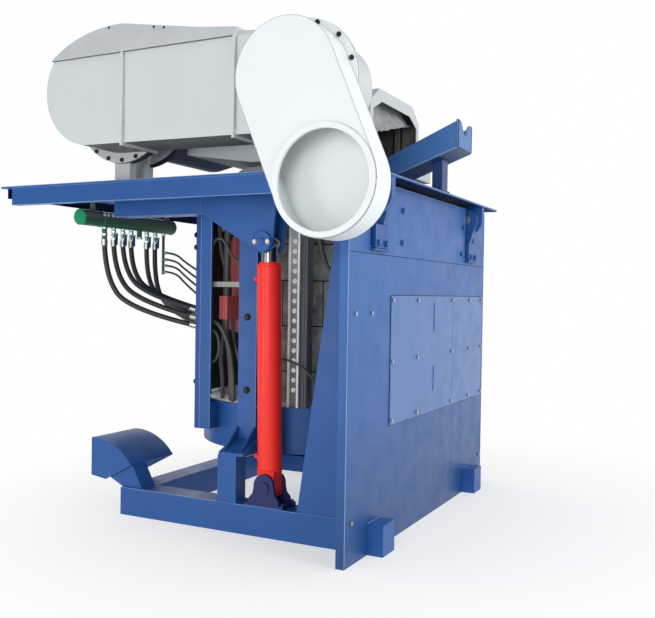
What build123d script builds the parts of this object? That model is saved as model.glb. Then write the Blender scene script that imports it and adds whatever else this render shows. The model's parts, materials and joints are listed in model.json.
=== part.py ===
# Hydraulic tilting induction melting furnace, in millimetres.
# X = 0 is the plane of the tilt axis and +X the pouring side, Y = 0 the middle, Z = 0 the floor.
from build123d import *
from math import atan2, degrees, hypot, pi, radians, tan
import os

os.makedirs("parts", exist_ok=True)

# Fits between pieces
RUN_GAP = 0.3
SHAFT_FIT = 0.05

# Base frame: two boxed beams along X, joined by two boxed beams along Y
BEAM_H = 160
BEAM_W = 150
BEAM_WALL = 8
BEAM_Y = 780
BASE_LEFT = -1580
FOOT_OUT = 95
DRAIN_R = 12
REST_X = -840
REST_LENGTH = 120
REST_WIDTH = 100
REST_TOP = 420
REST_WALL = 8
PAD_T = 12

# Stand: tapered columns, bearing blocks and the outer panel
PANEL_X = 2
PANEL_T = 6
PANEL_HALF_W = 1125
PANEL_FOLD = 40
PANEL_TOP = 1890
PANEL_SEAM = 1520
NOTCH_GAP = 3
COLUMN_TOP = 1550
COLUMN_TOP_L = 205
COLUMN_FOOT_L = 400
COLUMN_WALL = 10
COLUMN_HOLE_R = 35
COLUMN_HOLE_X = -140
COLUMN_HOLE_Z = 700
BLOCK_H = 120
BLOCK_LEFT = -150
BLOCK_RIGHT = 30
COVER_T = 5
COVER_LOW = 620
COVER_HIGH = 1310
COVER_LEFT = -595
COVER_SPLIT = 438
COVER_SLIT = 4
COVER_RIGHT = 1080
STRAP_Y = 100
STRAP_W = 40
STRAP_T = 4
STRAP_SPANS = ((745, 890), (1100, 1270))
COVER_BOLT_YS = (-577, -197, 420, 785, 1060)
COVER_BOLT_ZS = (645, 960, 1284)
PANEL_BOLTS_LEFT = ((85, 1220), (280, 1220), (68, 209))
PANEL_BOLTS_RIGHT = ((49, 194),)
BOLT_AF = 22
BOLT_HEAD = 8

# Tilt axis
AXIS_Z = 1820
PIN_R = 30
PIN_OUT = 8
EAR_Y = 720
EAR_T = 45
EAR_R = 72
LUG_GAP = 5
LUG_T = 50
LUG_R = 95

# Deck
DECK_TOP = 1920
DECK_T = 10
DECK_LEFT = -2290
DECK_RIGHT = 100
DECK_HALF_W = 1115
DECK_HOLE_R = 465
CHANNEL_H = 100
CHANNEL_W = 50
CHANNEL_T = 8
CHANNEL_LEFT = -2200
CHANNEL_RIGHT = -100

# Tilt brackets and rams
RAM_Y = 785
CHEEK_GAP = 100
CHEEK_T = 20
MAIN_BEAM_LEFT = -1650
MAIN_BEAM_RIGHT = -1000
MAIN_BEAM_H = 160
MAIN_BEAM_WALL = 10
CHEEK_RIGHT = -540
CHEEK_LAP = 30
RAM_TOP_X = -630
RAM_TOP_Z = 1588
RAM_FOOT_X = -605
RAM_FOOT_Z = 265
BOSS_R = 60
TOP_PIN_R = 32
CAP_R = 56
CAP_T = 12
CAP_BOLT_X = 40
FOOT_PIN_R = 25
FOOT_PIN_HEAD = 34
EYE_W = 92
EYE_R = 50
EYE_PIN_OUT = 2
BARREL_R = 66.5
BARREL_BORE = 50
BARREL_START = 90
BARREL_END = 1203
BARREL_FLOOR = 30
GLAND_R = 55
GLAND_L = 12
ROD_R = 45
ROD_START = 130
PISTON_L = 40
FOOT_PLATE_T = 20
FOOT_PLATE_L = 240
FOOT_CHEEK_L = 190
FOOT_CHEEK_TOP_L = 100
FOOT_CHEEK_RISE = 75

# Furnace body
FURNACE_X = -760
DRUM_R = 680
DRUM_WALL = 10
DRUM_BOTTOM = 420
DRUM_TOP = 680
DRUM_FLOOR = 12
RIM_R = 695
RIM_T = 12
BASE_BRICK_TOP = 672
LINING_R = 400
LINING_BORE = 300
LINING_BOTTOM = 560
LINING_FLOOR = 110
LINING_TOP = 1915
LINING_CORNER = 90
COIL_TOP = 1700
COIL_T = 40
JACKET_R = 457
JACKET_T = 10
TOP_BRICK_R = 610
TOP_BRICK_TOP = 1900
TOP_NECK_R = 460
TOP_NECK_RISE = 16
YOKE_DEPTH = 95
YOKE_W = 110
YOKE_LOW = 1077
YOKE_HIGH = 1650
YOKE_ANGLES = (15, 60, 105, 150, 195, 240)
TERMINAL_X = -1060
TERMINAL_L = 55
TERMINAL_FRONT = -620
TERMINAL_REAR = -480
TERMINAL_LOW = 1157
TERMINAL_H = 136
COLLAR_R = 490
COLLAR_T = 14

# Posts of the furnace frame
POST_Y = 700
POST_DEPTH = 85
POST_WALL = 8
LEFT_POST_X = -1137
RIGHT_POST_X = -285
SIDE_POST_W = 73
SIDE_POST_BOTTOM = 524
TIE_REACH = 255
MID_POST_X = -873
MID_POST_W = 118
MID_POST_BOTTOM = 430
BRACKET_W = 160
BRACKET_OUT = 855
BRACKET_LIP = 16
BRACKET_TOP = 493
GUSSET_T = 10
GUSSET_TOP = 563
HEADER_X = -1345
HEADER_L = 70
HEADER_BOTTOM = 475
HEADER_Y = 415
HEADER_W = 80
COLUMN_Y = 640
COLUMN_DEPTH = 60
VENT_COLUMN_X = -583
VENT_COLUMN_W = 70
PLAIN_COLUMN_X = -505
PLAIN_COLUMN_W = 40
VENT_COUNT = 16
VENT_PITCH = 55
VENT_W = 30
VENT_H = 14
CLAMP_Z = 1360
CLAMP_H = 30
CLAMP_T = 20

# Spout
SPOUT_W = 260
SPOUT_T = 14
SPOUT_LEFT = -420
SPOUT_RIGHT = 212
SPOUT_LEFT_Z = 1921
SPOUT_RIGHT_Z = 2160
SPOUT_LEFT_H = 114
SPOUT_RIGHT_H = 156
SPOUT_GAP = 3
SPOUT_POST_X = 31
SPOUT_POST_L = 62
SPOUT_POST_W = 100

# Fume ducts
DUCT_WALL = 5
ELBOW_X = -208
ELBOW_Z = 2315
PIVOT_X = -1530
PIVOT_Z = 2385
ARM_FRONT = -1390
ARM_REAR = -1230
ARM_R = 260
OUTLET_BORE = 230
OUTLET_RING_R = 256
OUTLET_RING_T = 12
JOINT_BORE = 200
JOINT_R = 295
JOINT_T = 20
JOINT_BOLT_R = 277.5
JOINT_BOLTS = 8
JOINT_BOLT_LAP = 6
SPIGOT_WALL = 8
SPIGOT_L = 24
LINK_FRONT = -1210
LINK_REAR = -930
LINK_R_LEFT = 305
LINK_R_RIGHT = 238
LINK_RISE_LEFT = 25
LINK_RISE_RIGHT = 12
FOLD_Z = 2578
FOLD_LEAN = 65
FLANGE_OUT = 18
FLANGE_T = 12
FLANGE_XS = (-1296, -593)
PLATE_R = 337
PLATE_T = 15
PLATE_BOLT_R = 321
PLATE_BOLTS = 7
PLATE_BOLT_START = 180
PLATE_BOLT_ARC = 108
PLATE_FRONT = -910
PLATE_REAR = -700
TRUNK_R = 250
TRUNK_BORE = 238
LEG_W = 110
LEG_D = 50
LEG_X = -1545

# Fume hood, hinged on the hollow joint at its left
HOOD_HALF_W = 385
HOOD_CROWN = 260
HOOD_SHOULDER = 2410
HOOD_TOP = 2500
HOOD_LEFT = -1245
HOOD_RIGHT = -220
HOOD_WALL = 6
MOUTH_TOP = 70
MOUTH_SIDE = 40
TRAY_LEFT = -1300
TRAY_LEFT_Z = 2125
TRAY_BEND_X = -850
TRAY_Z = 2060
TRAY_TOP = 2176
TRAY_HALF_W = 620
TRAY_WALL = 8
TRAY_HOLE_R = 420
TRAY_NOTCH_LEFT = -395
TRAY_NOTCH_HALF_W = 140
LINK_BOX_R = 265
LINK_BOX_REAR = 0
LINK_BOX_TOP = 2480
LINK_BOX_LAP = 5
HOOD_FLANGE_R = 300
HOOD_FLANGE_T = 24

# Water manifold, valves and hoses
PIPE_R = 47.5
PIPE_X = -1900
PIPE_Z = 1755
PIPE_FRONT = -870
PIPE_REAR = 20
VALVE_YS = (-571, -484, -403, -243, -155)
PLAIN_NIPPLE_Y = -655
CAPPED_Y = -320
SIDE_PIPE_Y = -65
NIPPLE_R = 12
NIPPLE_BOTTOM = 1692
HOSE_TOP = 1634
VALVE_R = 19
STEM_Z = 1668
STEM_R = 5
STEM_L = 15
NUT_R = 8
NUT_T = 4
LEVER_L = 66
LEVER_W = 14
LEVER_T = 5
LEVER_HUB_R = 9
CAP_PIPE_R = 17
CAP_PIPE_BOTTOM = 1655
SIDE_PIPE_R = 10
SIDE_PIPE_BOTTOM = 1430
SIDE_PORT_ZS = (1577, 1531, 1490, 1447)
SIDE_PORT_R = 9
SIDE_PORT_L = 24
HANGER_YS = (-760, -30)
HANGER_W = 40
HANGER_T = 8
HOSE_R = 16
THIN_HOSE_R = 7

# Cable saddle at the left end of the front beam
SADDLE_LEFT = -1800
SADDLE_RIGHT = -1500
SADDLE_TOP = 434
SADDLE_LOW = 195
SADDLE_FRONT = -860
SADDLE_W = 400
SADDLE_T = 8
SADDLE_HEEL = 110
SADDLE_HEEL_RISE = 15
NECK_W = 120
NECK_INSET = 130

# Heights and edges that follow from the sizes above
DECK_UNDER = DECK_TOP - DECK_T
BLOCK_TOP = COLUMN_TOP + BLOCK_H
PANEL_FACE = PANEL_X + PANEL_T
COVER_FACE = PANEL_FACE + COVER_T
LUG_Y = EAR_Y + EAR_T + LUG_GAP
BRACKET_BOTTOM = REST_TOP + RUN_GAP
COLLAR_TOP = TRAY_Z - RUN_GAP
COIL_R = LINING_R + COIL_T
RAM_LENGTH = hypot(RAM_TOP_X - RAM_FOOT_X, RAM_TOP_Z - RAM_FOOT_Z)
LEVER_X = PIPE_X + VALVE_R + STEM_L / 2
JOINT_FACE = LINK_FRONT - JOINT_T / 2


def save(piece, name):
    """Label a finished piece and write it as its own STEP file."""
    piece.part.label = name
    export_step(piece.part, f"parts/{name}.step")


def at_y(*ys):
    """XZ planes through the given Y values, for profiles that are extruded to both sides."""
    return [Plane.XZ.offset(-y) for y in ys]


def ram_plane(y):
    """Plane across the ram at its foot pin, with its normal along the ram."""
    along = (RAM_TOP_X - RAM_FOOT_X, 0, RAM_TOP_Z - RAM_FOOT_Z)
    return Plane(origin=(RAM_FOOT_X, y, RAM_FOOT_Z), x_dir=(0, 1, 0), z_dir=along)


def hex_heads(radius):
    """Hexagon bolt head on the current locations of a sketch."""
    RegularPolygon(radius=radius, side_count=6, major_radius=False)


# Base frame
with BuildPart() as base_beams:
    beam_length = FOOT_OUT - BASE_LEFT
    with BuildSketch(Plane.YZ.offset(BASE_LEFT)):
        with Locations((-BEAM_Y, BEAM_H / 2), (BEAM_Y, BEAM_H / 2)):
            Rectangle(BEAM_W, BEAM_H)
    extrude(amount=beam_length)
    with BuildSketch(Plane.YZ.offset(BASE_LEFT + BEAM_WALL)):
        with Locations((-BEAM_Y, BEAM_H / 2), (BEAM_Y, BEAM_H / 2)):
            Rectangle(BEAM_W - 2 * BEAM_WALL, BEAM_H - 2 * BEAM_WALL)
    extrude(amount=beam_length - 2 * BEAM_WALL, mode=Mode.SUBTRACT)
    with BuildSketch():
        with Locations((BASE_LEFT + BEAM_W, -BEAM_Y), (BASE_LEFT + BEAM_W, BEAM_Y)):
            Circle(DRAIN_R)
    extrude(amount=BEAM_WALL, mode=Mode.SUBTRACT)
save(base_beams, "base_beams")

with BuildPart() as cross_beams:
    cross_span = 2 * BEAM_Y - BEAM_W
    with BuildSketch(*at_y(0)):
        with Locations((BASE_LEFT + BEAM_W / 2, BEAM_H / 2), (PANEL_X - BEAM_W / 2, BEAM_H / 2)):
            Rectangle(BEAM_W, BEAM_H)
            Rectangle(BEAM_W - 2 * BEAM_WALL, BEAM_H - 2 * BEAM_WALL, mode=Mode.SUBTRACT)
    extrude(amount=cross_span / 2, both=True)
    with BuildSketch():
        with Locations((BASE_LEFT + BEAM_W / 2, BEAM_Y / 2), (PANEL_X - BEAM_W / 2, BEAM_Y / 2)):
            Circle(DRAIN_R)
    extrude(amount=BEAM_WALL, mode=Mode.SUBTRACT)
save(cross_beams, "cross_beams")

# Stub columns that carry the tilting frame when it is down
with BuildPart() as rest_posts:
    rest_y = BEAM_Y + (BEAM_W - REST_WIDTH) / 2
    with BuildSketch(Plane.XY.offset(BEAM_H)):
        with Locations((REST_X, -rest_y), (REST_X, rest_y)):
            Rectangle(REST_LENGTH, REST_WIDTH)
    extrude(amount=REST_TOP - BEAM_H)
    with BuildSketch(Plane.XY.offset(BEAM_H)):
        with Locations((REST_X, -rest_y), (REST_X, rest_y)):
            Rectangle(REST_LENGTH - 2 * REST_WALL, REST_WIDTH - 2 * REST_WALL)
    extrude(amount=REST_TOP - BEAM_H - PAD_T, mode=Mode.SUBTRACT)
    with BuildSketch(*at_y(0)):
        with Locations((REST_X, (BEAM_H + REST_TOP) / 2)):
            Circle(DRAIN_R)
    extrude(amount=rest_y, both=True, mode=Mode.SUBTRACT)
save(rest_posts, "rest_posts")

# Cable saddle: a curved sheet between two cheeks, on a slanted neck
with BuildPart() as cable_saddle:
    saddle_y = SADDLE_FRONT + SADDLE_W / 2
    tip_z = SADDLE_TOP - 0.58 * (SADDLE_TOP - SADDLE_LOW)
    crown_z = SADDLE_TOP - 0.2 * (SADDLE_TOP - SADDLE_LOW)
    crown_x = SADDLE_LEFT + 0.66 * (SADDLE_RIGHT - SADDLE_LEFT)
    with BuildSketch(*at_y(saddle_y)):
        with BuildLine():
            ThreePointArc((SADDLE_LEFT, SADDLE_TOP), (crown_x, crown_z), (SADDLE_RIGHT, tip_z))
            Line((SADDLE_RIGHT, tip_z), (SADDLE_LEFT + SADDLE_HEEL, SADDLE_LOW))
            Line((SADDLE_LEFT + SADDLE_HEEL, SADDLE_LOW), (SADDLE_LEFT, SADDLE_LOW + SADDLE_HEEL_RISE))
            Line((SADDLE_LEFT, SADDLE_LOW + SADDLE_HEEL_RISE), (SADDLE_LEFT, SADDLE_TOP))
        make_face()
    extrude(amount=SADDLE_W / 2, both=True)
    inner_left = SADDLE_LEFT - SADDLE_T
    inner_tip = SADDLE_RIGHT - SADDLE_T
    with BuildSketch(*at_y(saddle_y)):
        with BuildLine():
            ThreePointArc((inner_left, SADDLE_TOP - SADDLE_T), (crown_x - SADDLE_T, crown_z - SADDLE_T),
                          (inner_tip, tip_z - SADDLE_T))
            Line((inner_tip, tip_z - SADDLE_T), (inner_tip, SADDLE_LOW - SADDLE_T))
            Line((inner_tip, SADDLE_LOW - SADDLE_T), (inner_left, SADDLE_LOW - SADDLE_T))
            Line((inner_left, SADDLE_LOW - SADDLE_T), (inner_left, SADDLE_TOP - SADDLE_T))
        make_face()
    extrude(amount=SADDLE_W / 2 - SADDLE_T, both=True, mode=Mode.SUBTRACT)
    with BuildSketch(*at_y(-BEAM_Y)):
        neck_foot = BASE_LEFT + BEAM_W
        Polygon((BASE_LEFT + 5, BEAM_H), (neck_foot - 5, BEAM_H), (SADDLE_RIGHT - 5, tip_z - 4),
                (crown_x, crown_z - 5), (SADDLE_LEFT + NECK_INSET, SADDLE_LOW + 10), align=None)
    extrude(amount=NECK_W / 2, both=True)
save(cable_saddle, "cable_saddle")

# Clevises that hold the feet of the rams
with BuildPart() as clevis_bases:
    plate_top = BEAM_H + FOOT_PLATE_T
    with BuildSketch(Plane.XY.offset(BEAM_H)):
        with Locations((RAM_FOOT_X, -BEAM_Y), (RAM_FOOT_X, BEAM_Y)):
            Rectangle(FOOT_PLATE_L, BEAM_W)
    extrude(amount=FOOT_PLATE_T)
    cheek_offset = (CHEEK_GAP + CHEEK_T) / 2
    cheek_ys = [side * RAM_Y + step for side in (-1, 1) for step in (-cheek_offset, cheek_offset)]
    with BuildSketch(*at_y(*cheek_ys)):
        top_z = RAM_FOOT_Z + FOOT_CHEEK_RISE
        foot_half = FOOT_CHEEK_L / 2
        top_half = FOOT_CHEEK_TOP_L / 2
        Polygon((RAM_FOOT_X - foot_half, plate_top - 5), (RAM_FOOT_X + foot_half, plate_top - 5),
                (RAM_FOOT_X + top_half, top_z), (RAM_FOOT_X - top_half, top_z), align=None)
        with Locations((RAM_FOOT_X, RAM_FOOT_Z)):
            Circle(FOOT_PIN_R, mode=Mode.SUBTRACT)
    extrude(amount=CHEEK_T / 2, both=True)
save(clevis_bases, "clevis_bases")

with BuildPart() as clevis_pins:
    with BuildSketch(*at_y(-RAM_Y, RAM_Y)):
        with Locations((RAM_FOOT_X, RAM_FOOT_Z)):
            Circle(FOOT_PIN_R)
    extrude(amount=CHEEK_GAP / 2 + CHEEK_T, both=True)
    head_offset = CHEEK_GAP / 2 + CHEEK_T + PIN_OUT / 2
    head_ys = [side * RAM_Y + step for side in (-1, 1) for step in (-head_offset, head_offset)]
    with BuildSketch(*at_y(*head_ys)):
        with Locations((RAM_FOOT_X, RAM_FOOT_Z)):
            Circle(FOOT_PIN_HEAD)
    extrude(amount=PIN_OUT / 2, both=True)
save(clevis_pins, "clevis_pins")

# Stand columns, boxed from tapered plates
with BuildPart() as stand_columns:
    with BuildSketch(*at_y(-BEAM_Y, BEAM_Y)):
        Polygon((PANEL_X - COLUMN_FOOT_L, BEAM_H), (PANEL_X, BEAM_H), (PANEL_X, COLUMN_TOP),
                (PANEL_X - COLUMN_TOP_L, COLUMN_TOP), align=None)
    extrude(amount=BEAM_W / 2, both=True)
    with BuildSketch(*at_y(-BEAM_Y, BEAM_Y)):
        right = PANEL_X - COLUMN_WALL
        Polygon((PANEL_X - COLUMN_FOOT_L + COLUMN_WALL, BEAM_H + COLUMN_WALL), (right, BEAM_H + COLUMN_WALL),
                (right, COLUMN_TOP - COLUMN_WALL),
                (PANEL_X - COLUMN_TOP_L + COLUMN_WALL, COLUMN_TOP - COLUMN_WALL), align=None)
    extrude(amount=BEAM_W / 2 - COLUMN_WALL, both=True, mode=Mode.SUBTRACT)
    with BuildSketch(*at_y(0)):
        with Locations((COLUMN_HOLE_X, COLUMN_HOLE_Z)):
            Circle(COLUMN_HOLE_R)
    extrude(amount=BEAM_Y, both=True, mode=Mode.SUBTRACT)
save(stand_columns, "stand_columns")

# Bearing blocks, each with one ear that holds a trunnion pin
with BuildPart() as bearing_blocks:
    with BuildSketch(Plane.XY.offset(COLUMN_TOP)):
        with Locations(((BLOCK_LEFT + BLOCK_RIGHT) / 2, -BEAM_Y), ((BLOCK_LEFT + BLOCK_RIGHT) / 2, BEAM_Y)):
            Rectangle(BLOCK_RIGHT - BLOCK_LEFT, BEAM_W)
    extrude(amount=BLOCK_H)
    with BuildSketch(*at_y(-EAR_Y - EAR_T / 2, EAR_Y + EAR_T / 2)):
        with BuildLine():
            CenterArc((0, AXIS_Z), EAR_R, 0, 360)
            Line((BLOCK_LEFT + 40, BLOCK_TOP - 2), (BLOCK_RIGHT - 2, BLOCK_TOP - 2))
        make_hull()
        with Locations((0, AXIS_Z)):
            Circle(PIN_R + SHAFT_FIT, mode=Mode.SUBTRACT)
    extrude(amount=EAR_T / 2, both=True)
save(bearing_blocks, "bearing_blocks")

# Outer panel in two sheets, with notches for the beam feet, the blocks and the lugs
notch_w = BEAM_W + 2 * NOTCH_GAP
with BuildPart() as panel_lower:
    with BuildSketch(Plane.YZ.offset(PANEL_X)):
        with Locations((0, PANEL_SEAM / 2)):
            Rectangle(2 * PANEL_HALF_W, PANEL_SEAM)
        with Locations((-BEAM_Y, 0), (BEAM_Y, 0)):
            Rectangle(notch_w, 2 * (BEAM_H + NOTCH_GAP), mode=Mode.SUBTRACT)
    extrude(amount=PANEL_T)
    with BuildSketch(Plane.YZ.offset(PANEL_X - PANEL_FOLD)):
        for edge_y in (-PANEL_HALF_W + PANEL_T / 2, PANEL_HALF_W - PANEL_T / 2):
            with Locations((edge_y, PANEL_SEAM / 2)):
                Rectangle(PANEL_T, PANEL_SEAM)
    extrude(amount=PANEL_FOLD)
save(panel_lower, "panel_lower")

with BuildPart() as panel_upper:
    upper_h = PANEL_TOP - PANEL_SEAM
    with BuildSketch(Plane.YZ.offset(PANEL_X)):
        with Locations((0, PANEL_SEAM + upper_h / 2)):
            Rectangle(2 * PANEL_HALF_W, upper_h)
        with Locations((-BEAM_Y, PANEL_TOP), (BEAM_Y, PANEL_TOP)):
            Rectangle(notch_w, 2 * (PANEL_TOP - COLUMN_TOP + NOTCH_GAP), mode=Mode.SUBTRACT)
    extrude(amount=PANEL_T)
    with BuildSketch(Plane.YZ.offset(PANEL_X - PANEL_FOLD)):
        for edge_y in (-PANEL_HALF_W + PANEL_T / 2, PANEL_HALF_W - PANEL_T / 2):
            with Locations((edge_y, PANEL_SEAM + upper_h / 2)):
                Rectangle(PANEL_T, upper_h)
    extrude(amount=PANEL_FOLD)
save(panel_upper, "panel_upper")

cover_middle = (COVER_LOW + COVER_HIGH) / 2
cover_h = COVER_HIGH - COVER_LOW
with BuildPart() as access_cover:
    access_right = COVER_SPLIT - COVER_SLIT / 2
    with BuildSketch(Plane.YZ.offset(PANEL_FACE)):
        with Locations(((COVER_LEFT + access_right) / 2, cover_middle)):
            Rectangle(access_right - COVER_LEFT, cover_h)
    extrude(amount=COVER_T)
    with BuildSketch(Plane.YZ.offset(COVER_FACE)):
        for strap_low, strap_high in STRAP_SPANS:
            with Locations((STRAP_Y, (strap_low + strap_high) / 2)):
                Rectangle(STRAP_W, strap_high - strap_low)
    extrude(amount=STRAP_T)
save(access_cover, "access_cover")

with BuildPart() as side_cover:
    side_left = COVER_SPLIT + COVER_SLIT / 2
    with BuildSketch(Plane.YZ.offset(PANEL_FACE)):
        with Locations(((side_left + COVER_RIGHT) / 2, cover_middle)):
            Rectangle(COVER_RIGHT - side_left, cover_h)
    extrude(amount=COVER_T)
save(side_cover, "side_cover")

with BuildPart() as panel_bolts:
    with BuildSketch(Plane.YZ.offset(COVER_FACE)):
        with Locations(*[(bolt_y, bolt_z) for bolt_y in COVER_BOLT_YS for bolt_z in COVER_BOLT_ZS]):
            hex_heads(BOLT_AF / 2)
    extrude(amount=BOLT_HEAD)
    with BuildSketch(Plane.YZ.offset(PANEL_FACE)):
        with Locations(*[(inset - PANEL_HALF_W, bolt_z) for inset, bolt_z in PANEL_BOLTS_LEFT]):
            hex_heads(BOLT_AF / 2)
        with Locations(*[(PANEL_HALF_W - inset, bolt_z) for inset, bolt_z in PANEL_BOLTS_RIGHT]):
            hex_heads(BOLT_AF / 2)
    extrude(amount=BOLT_HEAD)
save(panel_bolts, "panel_bolts")

# Rams: barrel with foot eye, gland, and rod with piston, top eye and the middle of the top pin
for ram_y, place in ((-RAM_Y, "front"), (RAM_Y, "rear")):
    across = ram_plane(ram_y)
    with BuildPart() as barrel:
        with BuildSketch(across):
            Rectangle(EYE_W, 2 * EYE_R)
        extrude(amount=BARREL_START)
        with BuildSketch(across.offset(-EYE_R)):
            Rectangle(EYE_W, 2 * EYE_R)
        extrude(amount=EYE_R)
        with BuildSketch(*at_y(ram_y)):
            with Locations((RAM_FOOT_X, RAM_FOOT_Z)):
                Circle(EYE_R)
        extrude(amount=EYE_W / 2, both=True)
        with BuildSketch(across.offset(BARREL_START)):
            Circle(BARREL_R)
        extrude(amount=BARREL_END - BARREL_START)
        with BuildSketch(across.offset(BARREL_START + BARREL_FLOOR)):
            Circle(BARREL_BORE)
        extrude(amount=BARREL_END - BARREL_START - BARREL_FLOOR, mode=Mode.SUBTRACT)
        with BuildSketch(*at_y(ram_y)):
            with Locations((RAM_FOOT_X, RAM_FOOT_Z)):
                Circle(FOOT_PIN_R + SHAFT_FIT)
        extrude(amount=EYE_W, both=True, mode=Mode.SUBTRACT)
    save(barrel, f"cylinder_{place}")

    with BuildPart() as gland:
        with BuildSketch(across.offset(BARREL_END)):
            Circle(GLAND_R)
            Circle(ROD_R + SHAFT_FIT, mode=Mode.SUBTRACT)
        extrude(amount=GLAND_L)
    save(gland, f"gland_{place}")

    with BuildPart() as ram:
        with BuildSketch(across.offset(ROD_START)):
            Circle(ROD_R)
        extrude(amount=RAM_LENGTH - ROD_START)
        with BuildSketch(across.offset(ROD_START)):
            Circle(BARREL_BORE - SHAFT_FIT)
        extrude(amount=PISTON_L)
        with BuildSketch(*at_y(ram_y)):
            with Locations((RAM_TOP_X, RAM_TOP_Z)):
                Circle(EYE_R)
        extrude(amount=EYE_W / 2, both=True)
        with BuildSketch(*at_y(ram_y)):
            with Locations((RAM_TOP_X, RAM_TOP_Z)):
                Circle(TOP_PIN_R)
        extrude(amount=EYE_W / 2 + EYE_PIN_OUT, both=True)
    save(ram, f"ram_{place}")

# Deck
with BuildPart() as deck_plate:
    with BuildSketch(Plane.XY.offset(DECK_UNDER)):
        with Locations(((DECK_LEFT + DECK_RIGHT) / 2, 0)):
            Rectangle(DECK_RIGHT - DECK_LEFT, 2 * DECK_HALF_W)
        with Locations((FURNACE_X, 0)):
            Circle(DECK_HOLE_R, mode=Mode.SUBTRACT)
    extrude(amount=DECK_T)
save(deck_plate, "deck_plate")

with BuildPart() as deck_channels:
    with BuildSketch(Plane.YZ.offset(CHANNEL_LEFT)):
        for side in (-1, 1):
            with Locations((side * (DECK_HALF_W - CHANNEL_W / 2), DECK_UNDER - CHANNEL_H / 2)):
                Rectangle(CHANNEL_W, CHANNEL_H)
            with Locations((side * (DECK_HALF_W - CHANNEL_T - CHANNEL_W / 2), DECK_UNDER - CHANNEL_H / 2)):
                Rectangle(CHANNEL_W, CHANNEL_H - 2 * CHANNEL_T, mode=Mode.SUBTRACT)
    extrude(amount=CHANNEL_RIGHT - CHANNEL_LEFT)
save(deck_channels, "deck_channels")

# Box beams under the deck, ending in the cheeks that the rams push on
with BuildPart() as tilt_brackets:
    beam_middle = ((MAIN_BEAM_LEFT + MAIN_BEAM_RIGHT) / 2, DECK_UNDER - MAIN_BEAM_H / 2)
    main_beam_l = MAIN_BEAM_RIGHT - MAIN_BEAM_LEFT
    with BuildSketch(*at_y(-RAM_Y, RAM_Y)):
        with Locations(beam_middle):
            Rectangle(main_beam_l, MAIN_BEAM_H)
    extrude(amount=CHEEK_GAP / 2 + CHEEK_T, both=True)
    with BuildSketch(*at_y(-RAM_Y, RAM_Y)):
        with Locations(beam_middle):
            Rectangle(main_beam_l - 2 * MAIN_BEAM_WALL, MAIN_BEAM_H - 2 * MAIN_BEAM_WALL)
    extrude(amount=CHEEK_GAP / 2 + CHEEK_T - MAIN_BEAM_WALL, both=True, mode=Mode.SUBTRACT)
    with BuildSketch(Plane.XY.offset(DECK_UNDER - MAIN_BEAM_H)):
        with Locations((MAIN_BEAM_LEFT + BEAM_W, -RAM_Y), (MAIN_BEAM_LEFT + BEAM_W, RAM_Y)):
            Circle(DRAIN_R)
    extrude(amount=MAIN_BEAM_WALL, mode=Mode.SUBTRACT)
    with BuildSketch(*at_y(*cheek_ys)):
        with BuildLine():
            CenterArc((RAM_TOP_X, RAM_TOP_Z), BOSS_R, 0, 360)
            lap_x = MAIN_BEAM_RIGHT - CHEEK_LAP
            Line((lap_x, DECK_UNDER), (lap_x, DECK_UNDER - MAIN_BEAM_H))
            Line((CHEEK_RIGHT, DECK_UNDER), (CHEEK_RIGHT, DECK_UNDER - CHEEK_LAP))
        make_hull()
        with Locations((RAM_TOP_X, RAM_TOP_Z)):
            Circle(TOP_PIN_R, mode=Mode.SUBTRACT)
    extrude(amount=CHEEK_T / 2, both=True)
save(tilt_brackets, "tilt_brackets")

# Ends of the top pins: a stub in each cheek under a bolted cap
with BuildPart() as pin_caps:
    with BuildSketch(*at_y(*cheek_ys)):
        with Locations((RAM_TOP_X, RAM_TOP_Z)):
            Circle(TOP_PIN_R)
    extrude(amount=CHEEK_T / 2, both=True)
    cap_offset = CHEEK_GAP / 2 + CHEEK_T + CAP_T / 2
    cap_ys = [side * RAM_Y + step for side in (-1, 1) for step in (-cap_offset, cap_offset)]
    with BuildSketch(*at_y(*cap_ys)):
        with Locations((RAM_TOP_X, RAM_TOP_Z)):
            Circle(CAP_R)
    extrude(amount=CAP_T / 2, both=True)
    bolt_offset = cap_offset + (CAP_T + BOLT_HEAD) / 2
    bolt_ys = [side * RAM_Y + step for side in (-1, 1) for step in (-bolt_offset, bolt_offset)]
    with BuildSketch(*at_y(*bolt_ys)):
        with Locations((RAM_TOP_X - CAP_BOLT_X, RAM_TOP_Z), (RAM_TOP_X + CAP_BOLT_X, RAM_TOP_Z)):
            hex_heads(BOLT_AF / 2)
    extrude(amount=BOLT_HEAD / 2, both=True)
save(pin_caps, "pin_caps")

# Trunnion lugs under the deck, and the pins on which everything tilts
with BuildPart() as trunnion_lugs:
    with BuildSketch(*at_y(-LUG_Y - LUG_T / 2, LUG_Y + LUG_T / 2)):
        with Locations((0, AXIS_Z)):
            Circle(LUG_R)
        with Locations((0, (AXIS_Z + DECK_UNDER) / 2)):
            Rectangle(2 * LUG_R, DECK_UNDER - AXIS_Z)
        with Locations((0, DECK_UNDER + LUG_R / 2)):
            Rectangle(2 * LUG_R, LUG_R, mode=Mode.SUBTRACT)
        with Locations((0, AXIS_Z)):
            Circle(PIN_R, mode=Mode.SUBTRACT)
    extrude(amount=LUG_T / 2, both=True)
save(trunnion_lugs, "trunnion_lugs")

with BuildPart() as trunnion_pins:
    pin_inner = EAR_Y - PIN_OUT
    pin_outer = LUG_Y + LUG_T + PIN_OUT
    with BuildSketch(*at_y(-(pin_inner + pin_outer) / 2, (pin_inner + pin_outer) / 2)):
        with Locations((0, AXIS_Z)):
            Circle(PIN_R)
    extrude(amount=(pin_outer - pin_inner) / 2, both=True)
save(trunnion_pins, "trunnion_pins")

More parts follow.
